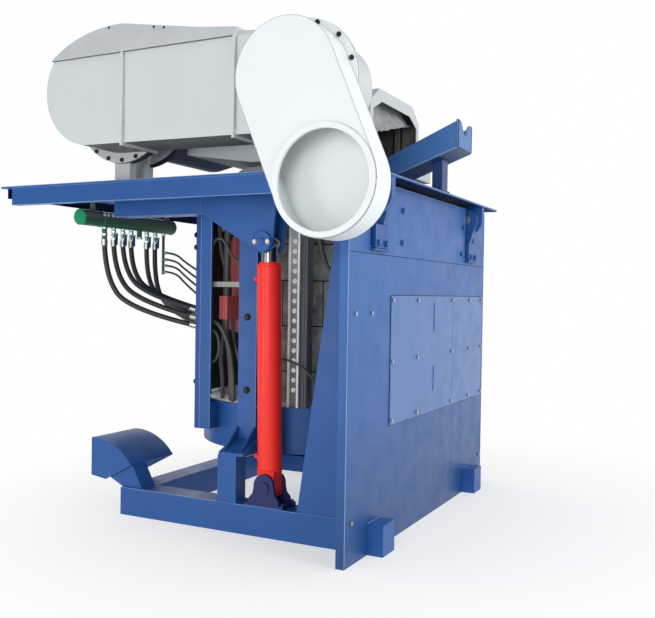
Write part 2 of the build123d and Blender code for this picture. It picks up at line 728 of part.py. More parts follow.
# Furnace body: drum, refractory, lining, coil and its jacket
with BuildPart() as furnace_drum:
    with BuildSketch(Plane.XY.offset(DRUM_BOTTOM)):
        with Locations((FURNACE_X, 0)):
            Circle(DRUM_R)
    extrude(amount=DRUM_TOP - DRUM_BOTTOM)
    with BuildSketch(Plane.XY.offset(DRUM_TOP - RIM_T)):
        with Locations((FURNACE_X, 0)):
            Circle(RIM_R)
    extrude(amount=RIM_T)
    with BuildSketch(Plane.XY.offset(DRUM_BOTTOM + DRUM_FLOOR)):
        with Locations((FURNACE_X, 0)):
            Circle(DRUM_R - DRUM_WALL)
    extrude(amount=DRUM_TOP - DRUM_BOTTOM, mode=Mode.SUBTRACT)
save(furnace_drum, "furnace_drum")

with BuildPart() as refractory_base:
    with BuildSketch(Plane.XY.offset(DRUM_BOTTOM + DRUM_FLOOR)):
        with Locations((FURNACE_X, 0)):
            Circle(DRUM_R - DRUM_WALL)
    extrude(amount=BASE_BRICK_TOP - DRUM_BOTTOM - DRUM_FLOOR)
    with BuildSketch(Plane.XY.offset(LINING_BOTTOM)):
        with Locations((FURNACE_X, 0)):
            Circle(LINING_R)
    extrude(amount=BASE_BRICK_TOP - LINING_BOTTOM, mode=Mode.SUBTRACT)
save(refractory_base, "refractory_base")

with BuildPart() as crucible_lining:
    with BuildSketch(Plane.XY.offset(LINING_BOTTOM)):
        with Locations((FURNACE_X, 0)):
            Circle(LINING_R)
    extrude(amount=LINING_TOP - LINING_BOTTOM)
    with BuildSketch(Plane.XY.offset(LINING_BOTTOM + LINING_FLOOR)):
        with Locations((FURNACE_X, 0)):
            Circle(LINING_BORE)
    extrude(amount=LINING_TOP - LINING_BOTTOM, mode=Mode.SUBTRACT)
    inner_floor = crucible_lining.faces().filter_by(Plane.XY).sort_by(Axis.Z)[1]
    fillet(inner_floor.edges(), LINING_CORNER)
save(crucible_lining, "crucible_lining")

with BuildPart() as induction_coil:
    with BuildSketch(Plane.XY.offset(BASE_BRICK_TOP)):
        with Locations((FURNACE_X, 0)):
            Circle(COIL_R)
            Circle(LINING_R, mode=Mode.SUBTRACT)
    extrude(amount=COIL_TOP - BASE_BRICK_TOP)
save(induction_coil, "induction_coil")

with BuildPart() as coil_jacket:
    with BuildSketch(Plane.XY.offset(BASE_BRICK_TOP)):
        with Locations((FURNACE_X, 0)):
            Circle(JACKET_R)
            Circle(JACKET_R - JACKET_T, mode=Mode.SUBTRACT)
    extrude(amount=COIL_TOP - BASE_BRICK_TOP)
save(coil_jacket, "coil_jacket")

with BuildPart() as refractory_top:
    with BuildSketch(Plane.XY.offset(COIL_TOP)):
        with Locations((FURNACE_X, 0)):
            Circle(TOP_BRICK_R)
    extrude(amount=TOP_BRICK_TOP - COIL_TOP)
    with BuildSketch(Plane.XY.offset(TOP_BRICK_TOP)):
        with Locations((FURNACE_X, 0)):
            Circle(TOP_NECK_R)
    extrude(amount=TOP_NECK_RISE)
    with BuildSketch(Plane.XY.offset(COIL_TOP)):
        with Locations((FURNACE_X, 0)):
            Circle(LINING_R)
    extrude(amount=DECK_TOP - COIL_TOP, mode=Mode.SUBTRACT)
save(refractory_top, "refractory_top")

with BuildPart() as magnetic_yokes:
    for yoke_angle in YOKE_ANGLES:
        with BuildSketch(Plane.XY.offset(YOKE_LOW)):
            with Locations((FURNACE_X, 0)):
                with PolarLocations(JACKET_R + YOKE_DEPTH / 2, 1, start_angle=yoke_angle):
                    Rectangle(YOKE_DEPTH, YOKE_W)
        extrude(amount=YOKE_HIGH - YOKE_LOW)
    with BuildSketch(Plane.XY.offset(TERMINAL_LOW)):
        with Locations((TERMINAL_X + TERMINAL_L / 2, (TERMINAL_FRONT + TERMINAL_REAR) / 2)):
            Rectangle(TERMINAL_L, TERMINAL_REAR - TERMINAL_FRONT)
    extrude(amount=TERMINAL_H)
save(magnetic_yokes, "magnetic_yokes")

# Posts between drum and deck, front and rear, with the feet that land on the stub columns
with BuildPart() as frame_posts:
    with BuildSketch(Plane.XY.offset(SIDE_POST_BOTTOM)):
        for side in (-1, 1):
            for post_x, inward in ((LEFT_POST_X, 1), (RIGHT_POST_X, -1)):
                with Locations((post_x + SIDE_POST_W / 2, side * (POST_Y - POST_DEPTH / 2))):
                    Rectangle(SIDE_POST_W, POST_DEPTH)
                with Locations((post_x + SIDE_POST_W / 2 + inward * POST_WALL,
                                side * (POST_Y - POST_WALL - POST_DEPTH / 2))):
                    Rectangle(SIDE_POST_W, POST_DEPTH, mode=Mode.SUBTRACT)
    extrude(amount=DECK_UNDER - SIDE_POST_BOTTOM)
    with BuildSketch(Plane.XY.offset(SIDE_POST_BOTTOM)):
        for side in (-1, 1):
            for post_x in (LEFT_POST_X, RIGHT_POST_X):
                with Locations((post_x + SIDE_POST_W / 2, side * (POST_Y - TIE_REACH / 2))):
                    Rectangle(SIDE_POST_W, TIE_REACH)
    extrude(amount=DRUM_TOP - SIDE_POST_BOTTOM)
    with BuildSketch(Plane.XY.offset(MID_POST_BOTTOM)):
        for side in (-1, 1):
            with Locations((MID_POST_X + MID_POST_W / 2, side * (POST_Y - POST_DEPTH / 2))):
                Rectangle(MID_POST_W, POST_DEPTH)
                Rectangle(MID_POST_W - 2 * POST_WALL, POST_DEPTH - 2 * POST_WALL, mode=Mode.SUBTRACT)
    extrude(amount=DECK_UNDER - MID_POST_BOTTOM)
    bracket_middle = MID_POST_X + MID_POST_W / 2
    with BuildSketch(Plane.YZ.offset(bracket_middle)):
        for side in (-1, 1):
            inner_y = side * (POST_Y - POST_WALL / 2)
            Polygon((inner_y, BRACKET_TOP), (side * BRACKET_OUT, BRACKET_BOTTOM + BRACKET_LIP),
                    (side * BRACKET_OUT, BRACKET_BOTTOM), (inner_y, BRACKET_BOTTOM), align=None)
    extrude(amount=BRACKET_W / 2, both=True)
    gusset_step = (MID_POST_W - GUSSET_T) / 2
    gusset_xs = (bracket_middle - gusset_step, bracket_middle + gusset_step)
    with BuildSketch(*[Plane.YZ.offset(gusset_x) for gusset_x in gusset_xs]):
        for side in (-1, 1):
            inner_y = side * (POST_Y - POST_WALL / 2)
            Polygon((inner_y, GUSSET_TOP), (side * BRACKET_OUT, BRACKET_BOTTOM + BRACKET_LIP),
                    (inner_y, BRACKET_BOTTOM), align=None)
    extrude(amount=GUSSET_T / 2, both=True)
    with BuildSketch(Plane.XY.offset(DRUM_BOTTOM)):
        with Locations((FURNACE_X, 0)):
            Circle(DRUM_R)
    extrude(amount=DRUM_TOP - DRUM_BOTTOM, mode=Mode.SUBTRACT)
    with BuildSketch(Plane.XY.offset(DRUM_TOP - RIM_T)):
        with Locations((FURNACE_X, 0)):
            Circle(RIM_R)
    extrude(amount=RIM_T, mode=Mode.SUBTRACT)
save(frame_posts, "frame_posts")

with BuildPart() as header_posts:
    with BuildSketch(Plane.XY.offset(HEADER_BOTTOM)):
        for side in (-1, 1):
            with Locations((HEADER_X + HEADER_L / 2, side * HEADER_Y)):
                Rectangle(HEADER_L, HEADER_W)
    extrude(amount=DECK_UNDER - HEADER_BOTTOM)
    with BuildSketch(Plane.XY.offset(DRUM_BOTTOM)):
        with Locations((FURNACE_X, 0)):
            Circle(DRUM_R)
    extrude(amount=DRUM_TOP - DRUM_BOTTOM, mode=Mode.SUBTRACT)
    with BuildSketch(Plane.XY.offset(DRUM_TOP - RIM_T)):
        with Locations((FURNACE_X, 0)):
            Circle(RIM_R)
    extrude(amount=RIM_T, mode=Mode.SUBTRACT)
save(header_posts, "header_posts")

# Slotted and plain columns beside the coil, and a clamp bar between two posts
with BuildPart() as coil_columns:
    column_middle_y = -COLUMN_Y + COLUMN_DEPTH / 2
    with BuildSketch(Plane.XY.offset(DRUM_TOP)):
        with Locations((VENT_COLUMN_X + VENT_COLUMN_W / 2, column_middle_y)):
            Rectangle(VENT_COLUMN_W, COLUMN_DEPTH)
            Rectangle(VENT_COLUMN_W - 2 * POST_WALL, COLUMN_DEPTH - 2 * POST_WALL, mode=Mode.SUBTRACT)
        with Locations((PLAIN_COLUMN_X + PLAIN_COLUMN_W / 2, column_middle_y)):
            Rectangle(PLAIN_COLUMN_W, COLUMN_DEPTH)
    extrude(amount=COIL_TOP - DRUM_TOP)
    with BuildSketch(*at_y(-COLUMN_Y + POST_WALL)):
        with Locations((VENT_COLUMN_X + VENT_COLUMN_W / 2, (DRUM_TOP + COIL_TOP) / 2)):
            with GridLocations(1, VENT_PITCH, 1, VENT_COUNT):
                Rectangle(VENT_W, VENT_H)
    extrude(amount=POST_WALL, mode=Mode.SUBTRACT)
    with BuildSketch(*at_y(-POST_Y + POST_DEPTH / 2)):
        bar_left = LEFT_POST_X + POST_WALL
        with Locations(((bar_left + MID_POST_X) / 2, CLAMP_Z)):
            Rectangle(MID_POST_X - bar_left, CLAMP_H)
    extrude(amount=CLAMP_T / 2, both=True)
save(coil_columns, "coil_columns")

# Steel collar round the mouth, open where the spout passes
with BuildPart() as mouth_collar:
    with BuildSketch(Plane.XY.offset(DECK_TOP)):
        with Locations((FURNACE_X, 0)):
            Circle(COLLAR_R)
            Circle(COLLAR_R - COLLAR_T, mode=Mode.SUBTRACT)
        with Locations((FURNACE_X + COLLAR_R, 0)):
            Rectangle(COLLAR_R, SPOUT_W + 2 * SPOUT_GAP, mode=Mode.SUBTRACT)
    extrude(amount=COLLAR_TOP - DECK_TOP)
save(mouth_collar, "mouth_collar")

# Spout: a sloping trough with a notched end plate, its post, and its rammed lining
spout_rise = (SPOUT_RIGHT_Z - SPOUT_LEFT_Z) / (SPOUT_RIGHT - SPOUT_LEFT)
spout_inner_right = SPOUT_RIGHT - SPOUT_T

with BuildPart() as spout:
    with BuildSketch(*at_y(0)):
        Polygon((SPOUT_LEFT, SPOUT_LEFT_Z), (SPOUT_RIGHT, SPOUT_RIGHT_Z),
                (SPOUT_RIGHT, SPOUT_RIGHT_Z + SPOUT_RIGHT_H),
                (SPOUT_LEFT, SPOUT_LEFT_Z + SPOUT_LEFT_H), align=None)
    extrude(amount=SPOUT_W / 2, both=True)
    with BuildSketch(*at_y(0)):
        inner_left_z = SPOUT_LEFT_Z + SPOUT_T
        inner_right_z = SPOUT_RIGHT_Z + SPOUT_T - spout_rise * SPOUT_T
        Polygon((SPOUT_LEFT, inner_left_z), (spout_inner_right, inner_right_z),
                (spout_inner_right, inner_right_z + 2 * SPOUT_RIGHT_H),
                (SPOUT_LEFT, inner_left_z + 2 * SPOUT_RIGHT_H), align=None)
    extrude(amount=SPOUT_W / 2 - SPOUT_T, both=True, mode=Mode.SUBTRACT)
    with BuildSketch(*at_y(0)):
        post_right = SPOUT_POST_X + SPOUT_POST_L
        Polygon((SPOUT_POST_X, DECK_TOP), (post_right, DECK_TOP),
                (post_right, SPOUT_RIGHT_Z - spout_rise * (SPOUT_RIGHT - post_right) + 1),
                (SPOUT_POST_X, SPOUT_RIGHT_Z - spout_rise * (SPOUT_RIGHT - SPOUT_POST_X) + 1), align=None)
    extrude(amount=SPOUT_POST_W / 2, both=True)
save(spout, "spout")

with BuildPart() as spout_lining:
    with BuildSketch(*at_y(0)):
        Polygon((SPOUT_LEFT, inner_left_z), (spout_inner_right, inner_right_z),
                (spout_inner_right, SPOUT_RIGHT_Z + SPOUT_RIGHT_H - SPOUT_T),
                (SPOUT_LEFT, SPOUT_LEFT_Z + SPOUT_LEFT_H - SPOUT_T), align=None)
    extrude(amount=SPOUT_W / 2 - SPOUT_T, both=True)
save(spout_lining, "spout_lining")

# Manifold with nipples, a capped stub, a side pipe with four ports, and two hangers
with BuildPart() as manifold:
    with BuildSketch(*at_y((PIPE_FRONT + PIPE_REAR) / 2)):
        with Locations((PIPE_X, PIPE_Z)):
            Circle(PIPE_R)
    extrude(amount=(PIPE_REAR - PIPE_FRONT) / 2, both=True)
    with BuildSketch(Plane.XY.offset(NIPPLE_BOTTOM)):
        with Locations(*[(PIPE_X, valve_y) for valve_y in VALVE_YS]):
            Circle(NIPPLE_R)
    extrude(amount=PIPE_Z - NIPPLE_BOTTOM)
    with BuildSketch(Plane.XY.offset(HOSE_TOP)):
        with Locations((PIPE_X, PLAIN_NIPPLE_Y)):
            Circle(HOSE_R)
    extrude(amount=PIPE_Z - HOSE_TOP)
    with BuildSketch(Plane.XY.offset(CAP_PIPE_BOTTOM)):
        with Locations((PIPE_X, CAPPED_Y)):
            Circle(CAP_PIPE_R)
    extrude(amount=PIPE_Z - CAP_PIPE_BOTTOM)
    with BuildSketch(Plane.XY.offset(SIDE_PIPE_BOTTOM)):
        with Locations((PIPE_X, SIDE_PIPE_Y)):
            Circle(SIDE_PIPE_R)
    extrude(amount=PIPE_Z - SIDE_PIPE_BOTTOM)
    with BuildSketch(Plane.YZ.offset(PIPE_X)):
        with Locations(*[(SIDE_PIPE_Y, port_z) for port_z in SIDE_PORT_ZS]):
            Circle(SIDE_PORT_R)
    extrude(amount=SIDE_PORT_L)
    with BuildSketch(Plane.XY.offset(PIPE_Z)):
        with Locations(*[(PIPE_X, hanger_y) for hanger_y in HANGER_YS]):
            Rectangle(HANGER_W, HANGER_T)
    extrude(amount=DECK_UNDER - PIPE_Z)
save(manifold, "manifold")

# Ball valves, each with a stem and a nut that holds its lever
with BuildPart() as valve_bodies:
    with BuildSketch(Plane.XY.offset(HOSE_TOP)):
        with Locations(*[(PIPE_X, valve_y) for valve_y in VALVE_YS]):
            RegularPolygon(radius=VALVE_R, side_count=8, major_radius=False, rotation=22.5)
    extrude(amount=NIPPLE_BOTTOM - HOSE_TOP)
    with BuildSketch(Plane.YZ.offset(PIPE_X)):
        with Locations(*[(valve_y, STEM_Z) for valve_y in VALVE_YS]):
            Circle(STEM_R)
    extrude(amount=VALVE_R + STEM_L)
    with BuildSketch(Plane.YZ.offset(LEVER_X + LEVER_T / 2 + RUN_GAP)):
        with Locations(*[(valve_y, STEM_Z) for valve_y in VALVE_YS]):
            hex_heads(NUT_R)
    extrude(amount=NUT_T)
save(valve_bodies, "valve_bodies")

for count, valve_y in enumerate(VALVE_YS, start=1):
    with BuildPart() as lever:
        with BuildSketch(Plane.YZ.offset(LEVER_X - LEVER_T / 2)):
            with BuildLine():
                CenterArc((valve_y, STEM_Z), LEVER_HUB_R, 0, 360)
                CenterArc((valve_y, STEM_Z - LEVER_L + LEVER_W / 2), LEVER_W / 2, 0, 360)
            make_hull()
            with Locations((valve_y, STEM_Z)):
                Circle(STEM_R + SHAFT_FIT, mode=Mode.SUBTRACT)
        extrude(amount=LEVER_T)
    save(lever, f"valve_lever_{count}")

# Stand of the hollow joint: two round plates on a trunk, with a leg under each
with BuildPart() as duct_stand:
    for plate_y in (PLATE_FRONT + PLATE_T / 2, PLATE_REAR - PLATE_T / 2):
        with BuildSketch(*at_y(plate_y)):
            with Locations((PIVOT_X, PIVOT_Z)):
                Circle(PLATE_R)
        extrude(amount=PLATE_T / 2, both=True)
    with BuildSketch(*at_y((PLATE_FRONT + PLATE_REAR) / 2)):
        with Locations((PIVOT_X, PIVOT_Z)):
            Circle(TRUNK_R)
    extrude(amount=(PLATE_REAR - PLATE_FRONT) / 2, both=True)
    with BuildSketch(Plane.XY.offset(DECK_TOP)):
        with Locations((LEG_X, PLATE_FRONT + LEG_D / 2), (LEG_X, PLATE_REAR - LEG_D / 2)):
            Rectangle(LEG_W, LEG_D)
    extrude(amount=PIVOT_Z - DECK_TOP)
    with BuildSketch(*at_y((PLATE_FRONT + PLATE_REAR) / 2)):
        with Locations((PIVOT_X, PIVOT_Z)):
            Circle(TRUNK_BORE)
    extrude(amount=PLATE_REAR - PLATE_FRONT, both=True, mode=Mode.SUBTRACT)
save(duct_stand, "duct_stand")


def link_outline(inset):
    """Outline of the long duct: a hull round its two joints, made smaller by the inset."""
    with BuildSketch() as outline:
        with BuildLine():
            CenterArc((PIVOT_X, PIVOT_Z + LINK_RISE_LEFT), LINK_R_LEFT - inset, 0, 360)
            CenterArc((ELBOW_X, ELBOW_Z + LINK_RISE_RIGHT), LINK_R_RIGHT - inset, 0, 360)
        make_hull()
    return outline.sketch


def fold_outline(inset):
    """Wedge over the folded top edge of the long duct, moved in by the inset."""
    lean = tan(radians(90 - FOLD_LEAN))
    rise = LINK_R_LEFT
    front = LINK_FRONT + inset
    Polygon((front, FOLD_Z), (front + rise * lean, FOLD_Z + rise), (front - rise, FOLD_Z + rise),
            (front - rise, FOLD_Z), align=None)


# Hollow of the long duct, made apart so that its fold follows the outer one
link_length = ELBOW_X - PIVOT_X
with BuildPart() as link_hollow:
    with BuildSketch(*at_y(LINK_REAR - DUCT_WALL)):
        add(link_outline(DUCT_WALL))
    extrude(amount=LINK_REAR - LINK_FRONT - 2 * DUCT_WALL)
    with BuildSketch(Plane.YZ.offset(PIVOT_X - PLATE_R)):
        fold_outline(DUCT_WALL)
    extrude(amount=link_length + 2 * PLATE_R, mode=Mode.SUBTRACT)

with BuildPart() as swing_duct:
    with BuildSketch(*at_y(LINK_REAR)):
        add(link_outline(0))
    extrude(amount=LINK_REAR - LINK_FRONT)
    with BuildSketch(Plane.YZ.offset(PIVOT_X - PLATE_R)):
        fold_outline(0)
    extrude(amount=link_length + 2 * PLATE_R, mode=Mode.SUBTRACT)
    for flange_x in FLANGE_XS:
        along = (flange_x - PIVOT_X) / link_length
        middle_z = PIVOT_Z + LINK_RISE_LEFT + along * (ELBOW_Z + LINK_RISE_RIGHT - PIVOT_Z - LINK_RISE_LEFT)
        reach = LINK_R_LEFT + along * (LINK_R_RIGHT - LINK_R_LEFT) + FLANGE_OUT
        lean_back = (middle_z + reach - FOLD_Z) * tan(radians(90 - FOLD_LEAN))
        flange_front = LINK_FRONT - FLANGE_OUT
        with BuildSketch(Plane.YZ.offset(flange_x)):
            Polygon((flange_front, middle_z - reach), (LINK_REAR + DUCT_WALL, middle_z - reach),
                    (LINK_REAR + DUCT_WALL, middle_z + reach), (flange_front + lean_back, middle_z + reach),
                    (flange_front, FOLD_Z), align=None)
        extrude(amount=FLANGE_T)
    with BuildSketch(*at_y(PLATE_FRONT)):
        with Locations((PIVOT_X, PIVOT_Z)):
            Circle(PLATE_R)
    extrude(amount=PLATE_FRONT - LINK_REAR)
    with BuildSketch(*at_y(JOINT_FACE + JOINT_T)):
        with Locations((ELBOW_X, ELBOW_Z)):
            Circle(JOINT_R)
    extrude(amount=JOINT_T - RUN_GAP)
    add(link_hollow.part, mode=Mode.SUBTRACT)
    with BuildSketch(*at_y(PLATE_FRONT)):
        with Locations((PIVOT_X, PIVOT_Z)):
            Circle(TRUNK_BORE)
    extrude(amount=PLATE_FRONT - LINK_REAR + 2 * DUCT_WALL, mode=Mode.SUBTRACT)
    with BuildSketch(*at_y(JOINT_FACE + JOINT_T)):
        with Locations((ELBOW_X, ELBOW_Z)):
            Circle(JOINT_BORE)
    extrude(amount=2 * JOINT_T, mode=Mode.SUBTRACT)
save(swing_duct, "swing_duct")

# Bolts that hold the long duct to the round plate, where the duct leaves its rim free
with BuildPart() as duct_bolts:
    with BuildSketch(*at_y(LINK_REAR)):
        with Locations((PIVOT_X, PIVOT_Z)):
            with PolarLocations(PLATE_BOLT_R, PLATE_BOLTS, PLATE_BOLT_START, PLATE_BOLT_ARC, endpoint=True):
                hex_heads(BOLT_AF / 2)
    extrude(amount=BOLT_HEAD)
save(duct_bolts, "duct_bolts")


def arm_outline(radius):
    """Racetrack outline of the outlet duct, from the elbow joint down to the tilt axis."""
    with BuildSketch() as outline:
        with BuildLine():
            CenterArc((ELBOW_X, ELBOW_Z), radius, 0, 360)
            CenterArc((0, AXIS_Z), radius, 0, 360)
        make_hull()
    return outline.sketch


# Outlet duct, which swivels on the elbow joint
with BuildPart() as outlet_duct:
    with BuildSketch(*at_y(ARM_REAR)):
        add(arm_outline(ARM_R))
    extrude(amount=ARM_REAR - ARM_FRONT - DUCT_WALL)
    with BuildSketch(*at_y(ARM_REAR - DUCT_WALL)):
        add(arm_outline(ARM_R - DUCT_WALL))
    extrude(amount=ARM_REAR - ARM_FRONT - DUCT_WALL, mode=Mode.SUBTRACT)
    with BuildSketch(*at_y(JOINT_FACE - RUN_GAP)):
        with Locations((ELBOW_X, ELBOW_Z)):
            Circle(JOINT_R)
    extrude(amount=JOINT_FACE - RUN_GAP - ARM_REAR)
    with BuildSketch(*at_y(JOINT_FACE - RUN_GAP + SPIGOT_L)):
        with Locations((ELBOW_X, ELBOW_Z)):
            Circle(JOINT_BORE - SHAFT_FIT)
    extrude(amount=SPIGOT_L)
    with BuildSketch(*at_y(JOINT_FACE + SPIGOT_L)):
        with Locations((ELBOW_X, ELBOW_Z)):
            Circle(JOINT_BORE - SPIGOT_WALL)
    extrude(amount=JOINT_FACE + SPIGOT_L - ARM_REAR + 2 * DUCT_WALL, mode=Mode.SUBTRACT)
save(outlet_duct, "outlet_duct")

# Front sheet that closes the outlet duct, with the raised ring of the outlet
with BuildPart() as outlet_face:
    with BuildSketch(*at_y(ARM_FRONT + DUCT_WALL)):
        add(arm_outline(ARM_R))
    extrude(amount=DUCT_WALL)
    with BuildSketch(*at_y(ARM_FRONT)):
        with Locations((0, AXIS_Z)):
            Circle(OUTLET_RING_R)
    extrude(amount=OUTLET_RING_T)
    with BuildSketch(*at_y(ARM_FRONT + DUCT_WALL)):
        with Locations((0, AXIS_Z)):
            Circle(OUTLET_BORE)
    extrude(amount=DUCT_WALL + OUTLET_RING_T, mode=Mode.SUBTRACT)
save(outlet_face, "outlet_face")

# Bolts of the swivel ring, all round but where the duct itself covers the ring
with BuildPart() as joint_bolts:
    arm_angle = degrees(atan2(AXIS_Z - ELBOW_Z, -ELBOW_X))
    with BuildSketch(*at_y(ARM_REAR)):
        with Locations((ELBOW_X, ELBOW_Z)):
            with PolarLocations(JOINT_BOLT_R, JOINT_BOLTS, arm_angle + 90 - JOINT_BOLT_LAP,
                                180 + 2 * JOINT_BOLT_LAP, endpoint=True):
                hex_heads(BOLT_AF / 2)
    extrude(amount=BOLT_HEAD)
save(joint_bolts, "joint_bolts")


def hood_outline(half_w, crown, shoulder, top, low):
    """Cross-section of the hood: upright sides, sloping shoulders and a flat top."""
    Polygon((-half_w, low), (half_w, low), (half_w, shoulder), (crown, top), (-crown, top),
            (-half_w, shoulder), align=None)


def link_box_outline(inset):
    """Side view of the box that joins the hood to its hollow pivot."""
    edge_x = HOOD_LEFT + LINK_BOX_LAP + 2 * inset
    with BuildSketch() as outline:
        with BuildLine():
            CenterArc((PIVOT_X, PIVOT_Z), LINK_BOX_R - inset, 0, 360)
            Line((edge_x, TRAY_TOP + inset), (edge_x, LINK_BOX_TOP - inset))
        make_hull()
    return outline.sketch


# Hood: a tunnel with a framed mouth, joined to the hollow pivot by a rounded box
with BuildPart() as hood_shell:
    box_front = PLATE_REAR + RUN_GAP + HOOD_FLANGE_T
    with BuildSketch(Plane.YZ.offset(HOOD_LEFT)):
        hood_outline(HOOD_HALF_W, HOOD_CROWN, HOOD_SHOULDER, HOOD_TOP, TRAY_TOP)
    extrude(amount=HOOD_RIGHT - HOOD_LEFT)
    with BuildSketch(*at_y(LINK_BOX_REAR)):
        add(link_box_outline(0))
    extrude(amount=LINK_BOX_REAR - box_front)
    with BuildSketch(Plane.YZ.offset(HOOD_LEFT + HOOD_WALL)):
        hood_outline(HOOD_HALF_W - HOOD_WALL, HOOD_CROWN - HOOD_WALL / 2, HOOD_SHOULDER - HOOD_WALL / 2,
                     HOOD_TOP - HOOD_WALL, TRAY_TOP)
    extrude(amount=HOOD_RIGHT - HOOD_LEFT - 2 * HOOD_WALL, mode=Mode.SUBTRACT)
    with BuildSketch(Plane.YZ.offset(HOOD_RIGHT - HOOD_WALL)):
        hood_outline(HOOD_HALF_W - MOUTH_SIDE, HOOD_CROWN - MOUTH_SIDE, HOOD_SHOULDER - MOUTH_SIDE,
                     HOOD_TOP - MOUTH_TOP, TRAY_TOP)
    extrude(amount=HOOD_WALL, mode=Mode.SUBTRACT)
    with BuildSketch(*at_y(LINK_BOX_REAR - HOOD_WALL)):
        add(link_box_outline(HOOD_WALL))
    extrude(amount=LINK_BOX_REAR - box_front - 2 * HOOD_WALL, mode=Mode.SUBTRACT)
    with BuildSketch(*at_y(box_front)):
        with Locations((PIVOT_X, PIVOT_Z)):
            Circle(HOOD_FLANGE_R)
    extrude(amount=HOOD_FLANGE_T)
    with BuildSketch(*at_y(box_front - HOOD_FLANGE_T)):
        with Locations((PIVOT_X, PIVOT_Z)):
            Circle(TRUNK_BORE - SHAFT_FIT)
    extrude(amount=SPIGOT_L)
    with BuildSketch(*at_y(box_front + 2 * HOOD_WALL)):
        with Locations((PIVOT_X, PIVOT_Z)):
            Circle(TRUNK_BORE - SPIGOT_WALL)
    extrude(amount=2 * HOOD_WALL + HOOD_FLANGE_T + SPIGOT_L, mode=Mode.SUBTRACT)
save(hood_shell, "hood_shell")

# Hood base: a shallow pan that sits on the collar and opens round the mouth and the spout
with BuildPart() as hood_base:
    with BuildSketch(*at_y(0)):
        Polygon((TRAY_LEFT, TRAY_LEFT_Z), (TRAY_BEND_X, TRAY_Z), (HOOD_RIGHT, TRAY_Z),
                (HOOD_RIGHT, TRAY_TOP), (TRAY_LEFT, TRAY_TOP), align=None)
    extrude(amount=TRAY_HALF_W, both=True)
    with BuildSketch(*at_y(0)):
        Polygon((TRAY_LEFT + TRAY_WALL, TRAY_LEFT_Z + TRAY_WALL), (TRAY_BEND_X, TRAY_Z + TRAY_WALL),
                (HOOD_RIGHT - TRAY_WALL, TRAY_Z + TRAY_WALL), (HOOD_RIGHT - TRAY_WALL, TRAY_TOP - TRAY_WALL),
                (TRAY_LEFT + TRAY_WALL, TRAY_TOP - TRAY_WALL), align=None)
    extrude(amount=TRAY_HALF_W - TRAY_WALL, both=True, mode=Mode.SUBTRACT)
    with BuildSketch(Plane.XY.offset(TRAY_TOP - TRAY_WALL)):
        with Locations(((HOOD_LEFT + HOOD_RIGHT) / 2, 0)):
            Rectangle(HOOD_RIGHT - HOOD_LEFT - 2 * TRAY_WALL, 2 * (HOOD_HALF_W - TRAY_WALL))
    extrude(amount=TRAY_WALL, mode=Mode.SUBTRACT)
    with BuildSketch(Plane.XY.offset(TRAY_Z)):
        with Locations((FURNACE_X, 0)):
            Circle(TRAY_HOLE_R)
        with Locations(((TRAY_NOTCH_LEFT + HOOD_RIGHT) / 2, 0)):
            Rectangle(HOOD_RIGHT - TRAY_NOTCH_LEFT, 2 * TRAY_NOTCH_HALF_W)
    extrude(amount=(TRAY_TOP - TRAY_Z) * 0.7, mode=Mode.SUBTRACT)
    with BuildSketch(Plane.YZ.offset(HOOD_RIGHT - TRAY_WALL)):
        with Locations((0, (TRAY_Z + TRAY_TOP) / 2 + TRAY_WALL / 2)):
            Rectangle(2 * (HOOD_HALF_W - MOUTH_SIDE), TRAY_TOP - TRAY_Z - TRAY_WALL)
    extrude(amount=TRAY_WALL, mode=Mode.SUBTRACT)
    with BuildSketch(*at_y(LINK_BOX_REAR)):
        add(link_box_outline(0))
    extrude(amount=LINK_BOX_REAR - box_front, mode=Mode.SUBTRACT)
save(hood_base, "hood_base")

# Hoses: straight runs joined by round bends, through points chosen by hand
HOSES = {
    "hose_1": ((-1900, -655, 1633), (-1896, -650, 1400), (-1740, -600, 1195), (-1352, -437, 1105)),
    "hose_2": ((-1900, -571, 1633), (-1894, -566, 1430), (-1730, -530, 1245), (-1350.5, -437, 1155)),
    "hose_3": ((-1900, -484, 1633), (-1892, -482, 1455), (-1722, -470, 1290), (-1350, -437, 1205)),
    "hose_4": ((-1900, -403, 1633), (-1896, -403, 1445), (-1722, -405, 1290), (-1350, -393, 1205)),
    "hose_6": ((-1900, -243, 1633), (-1905, -244, 1415), (-1735, -290, 1240), (-1350.5, -393, 1155)),
    "hose_7": ((-1900, -155, 1633), (-1906, -158, 1390), (-1745, -215, 1190), (-1352.5, -393, 1105)),
}
THIN_HOSES = (
    ((-1875.5, -65, 1577), (-1790, -68, 1572), (-1600, -210, 1500), (-1350, -415, 1440)),
    ((-1875.5, -65, 1531), (-1790, -68, 1526), (-1600, -210, 1452), (-1350, -415, 1390)),
    ((-1875.5, -65, 1490), (-1790, -68, 1485), (-1600, -210, 1408), (-1350, -415, 1340)),
    ((-1875.5, -65, 1447), (-1790, -68, 1442), (-1600, -210, 1362), (-1350, -415, 1290)),
)

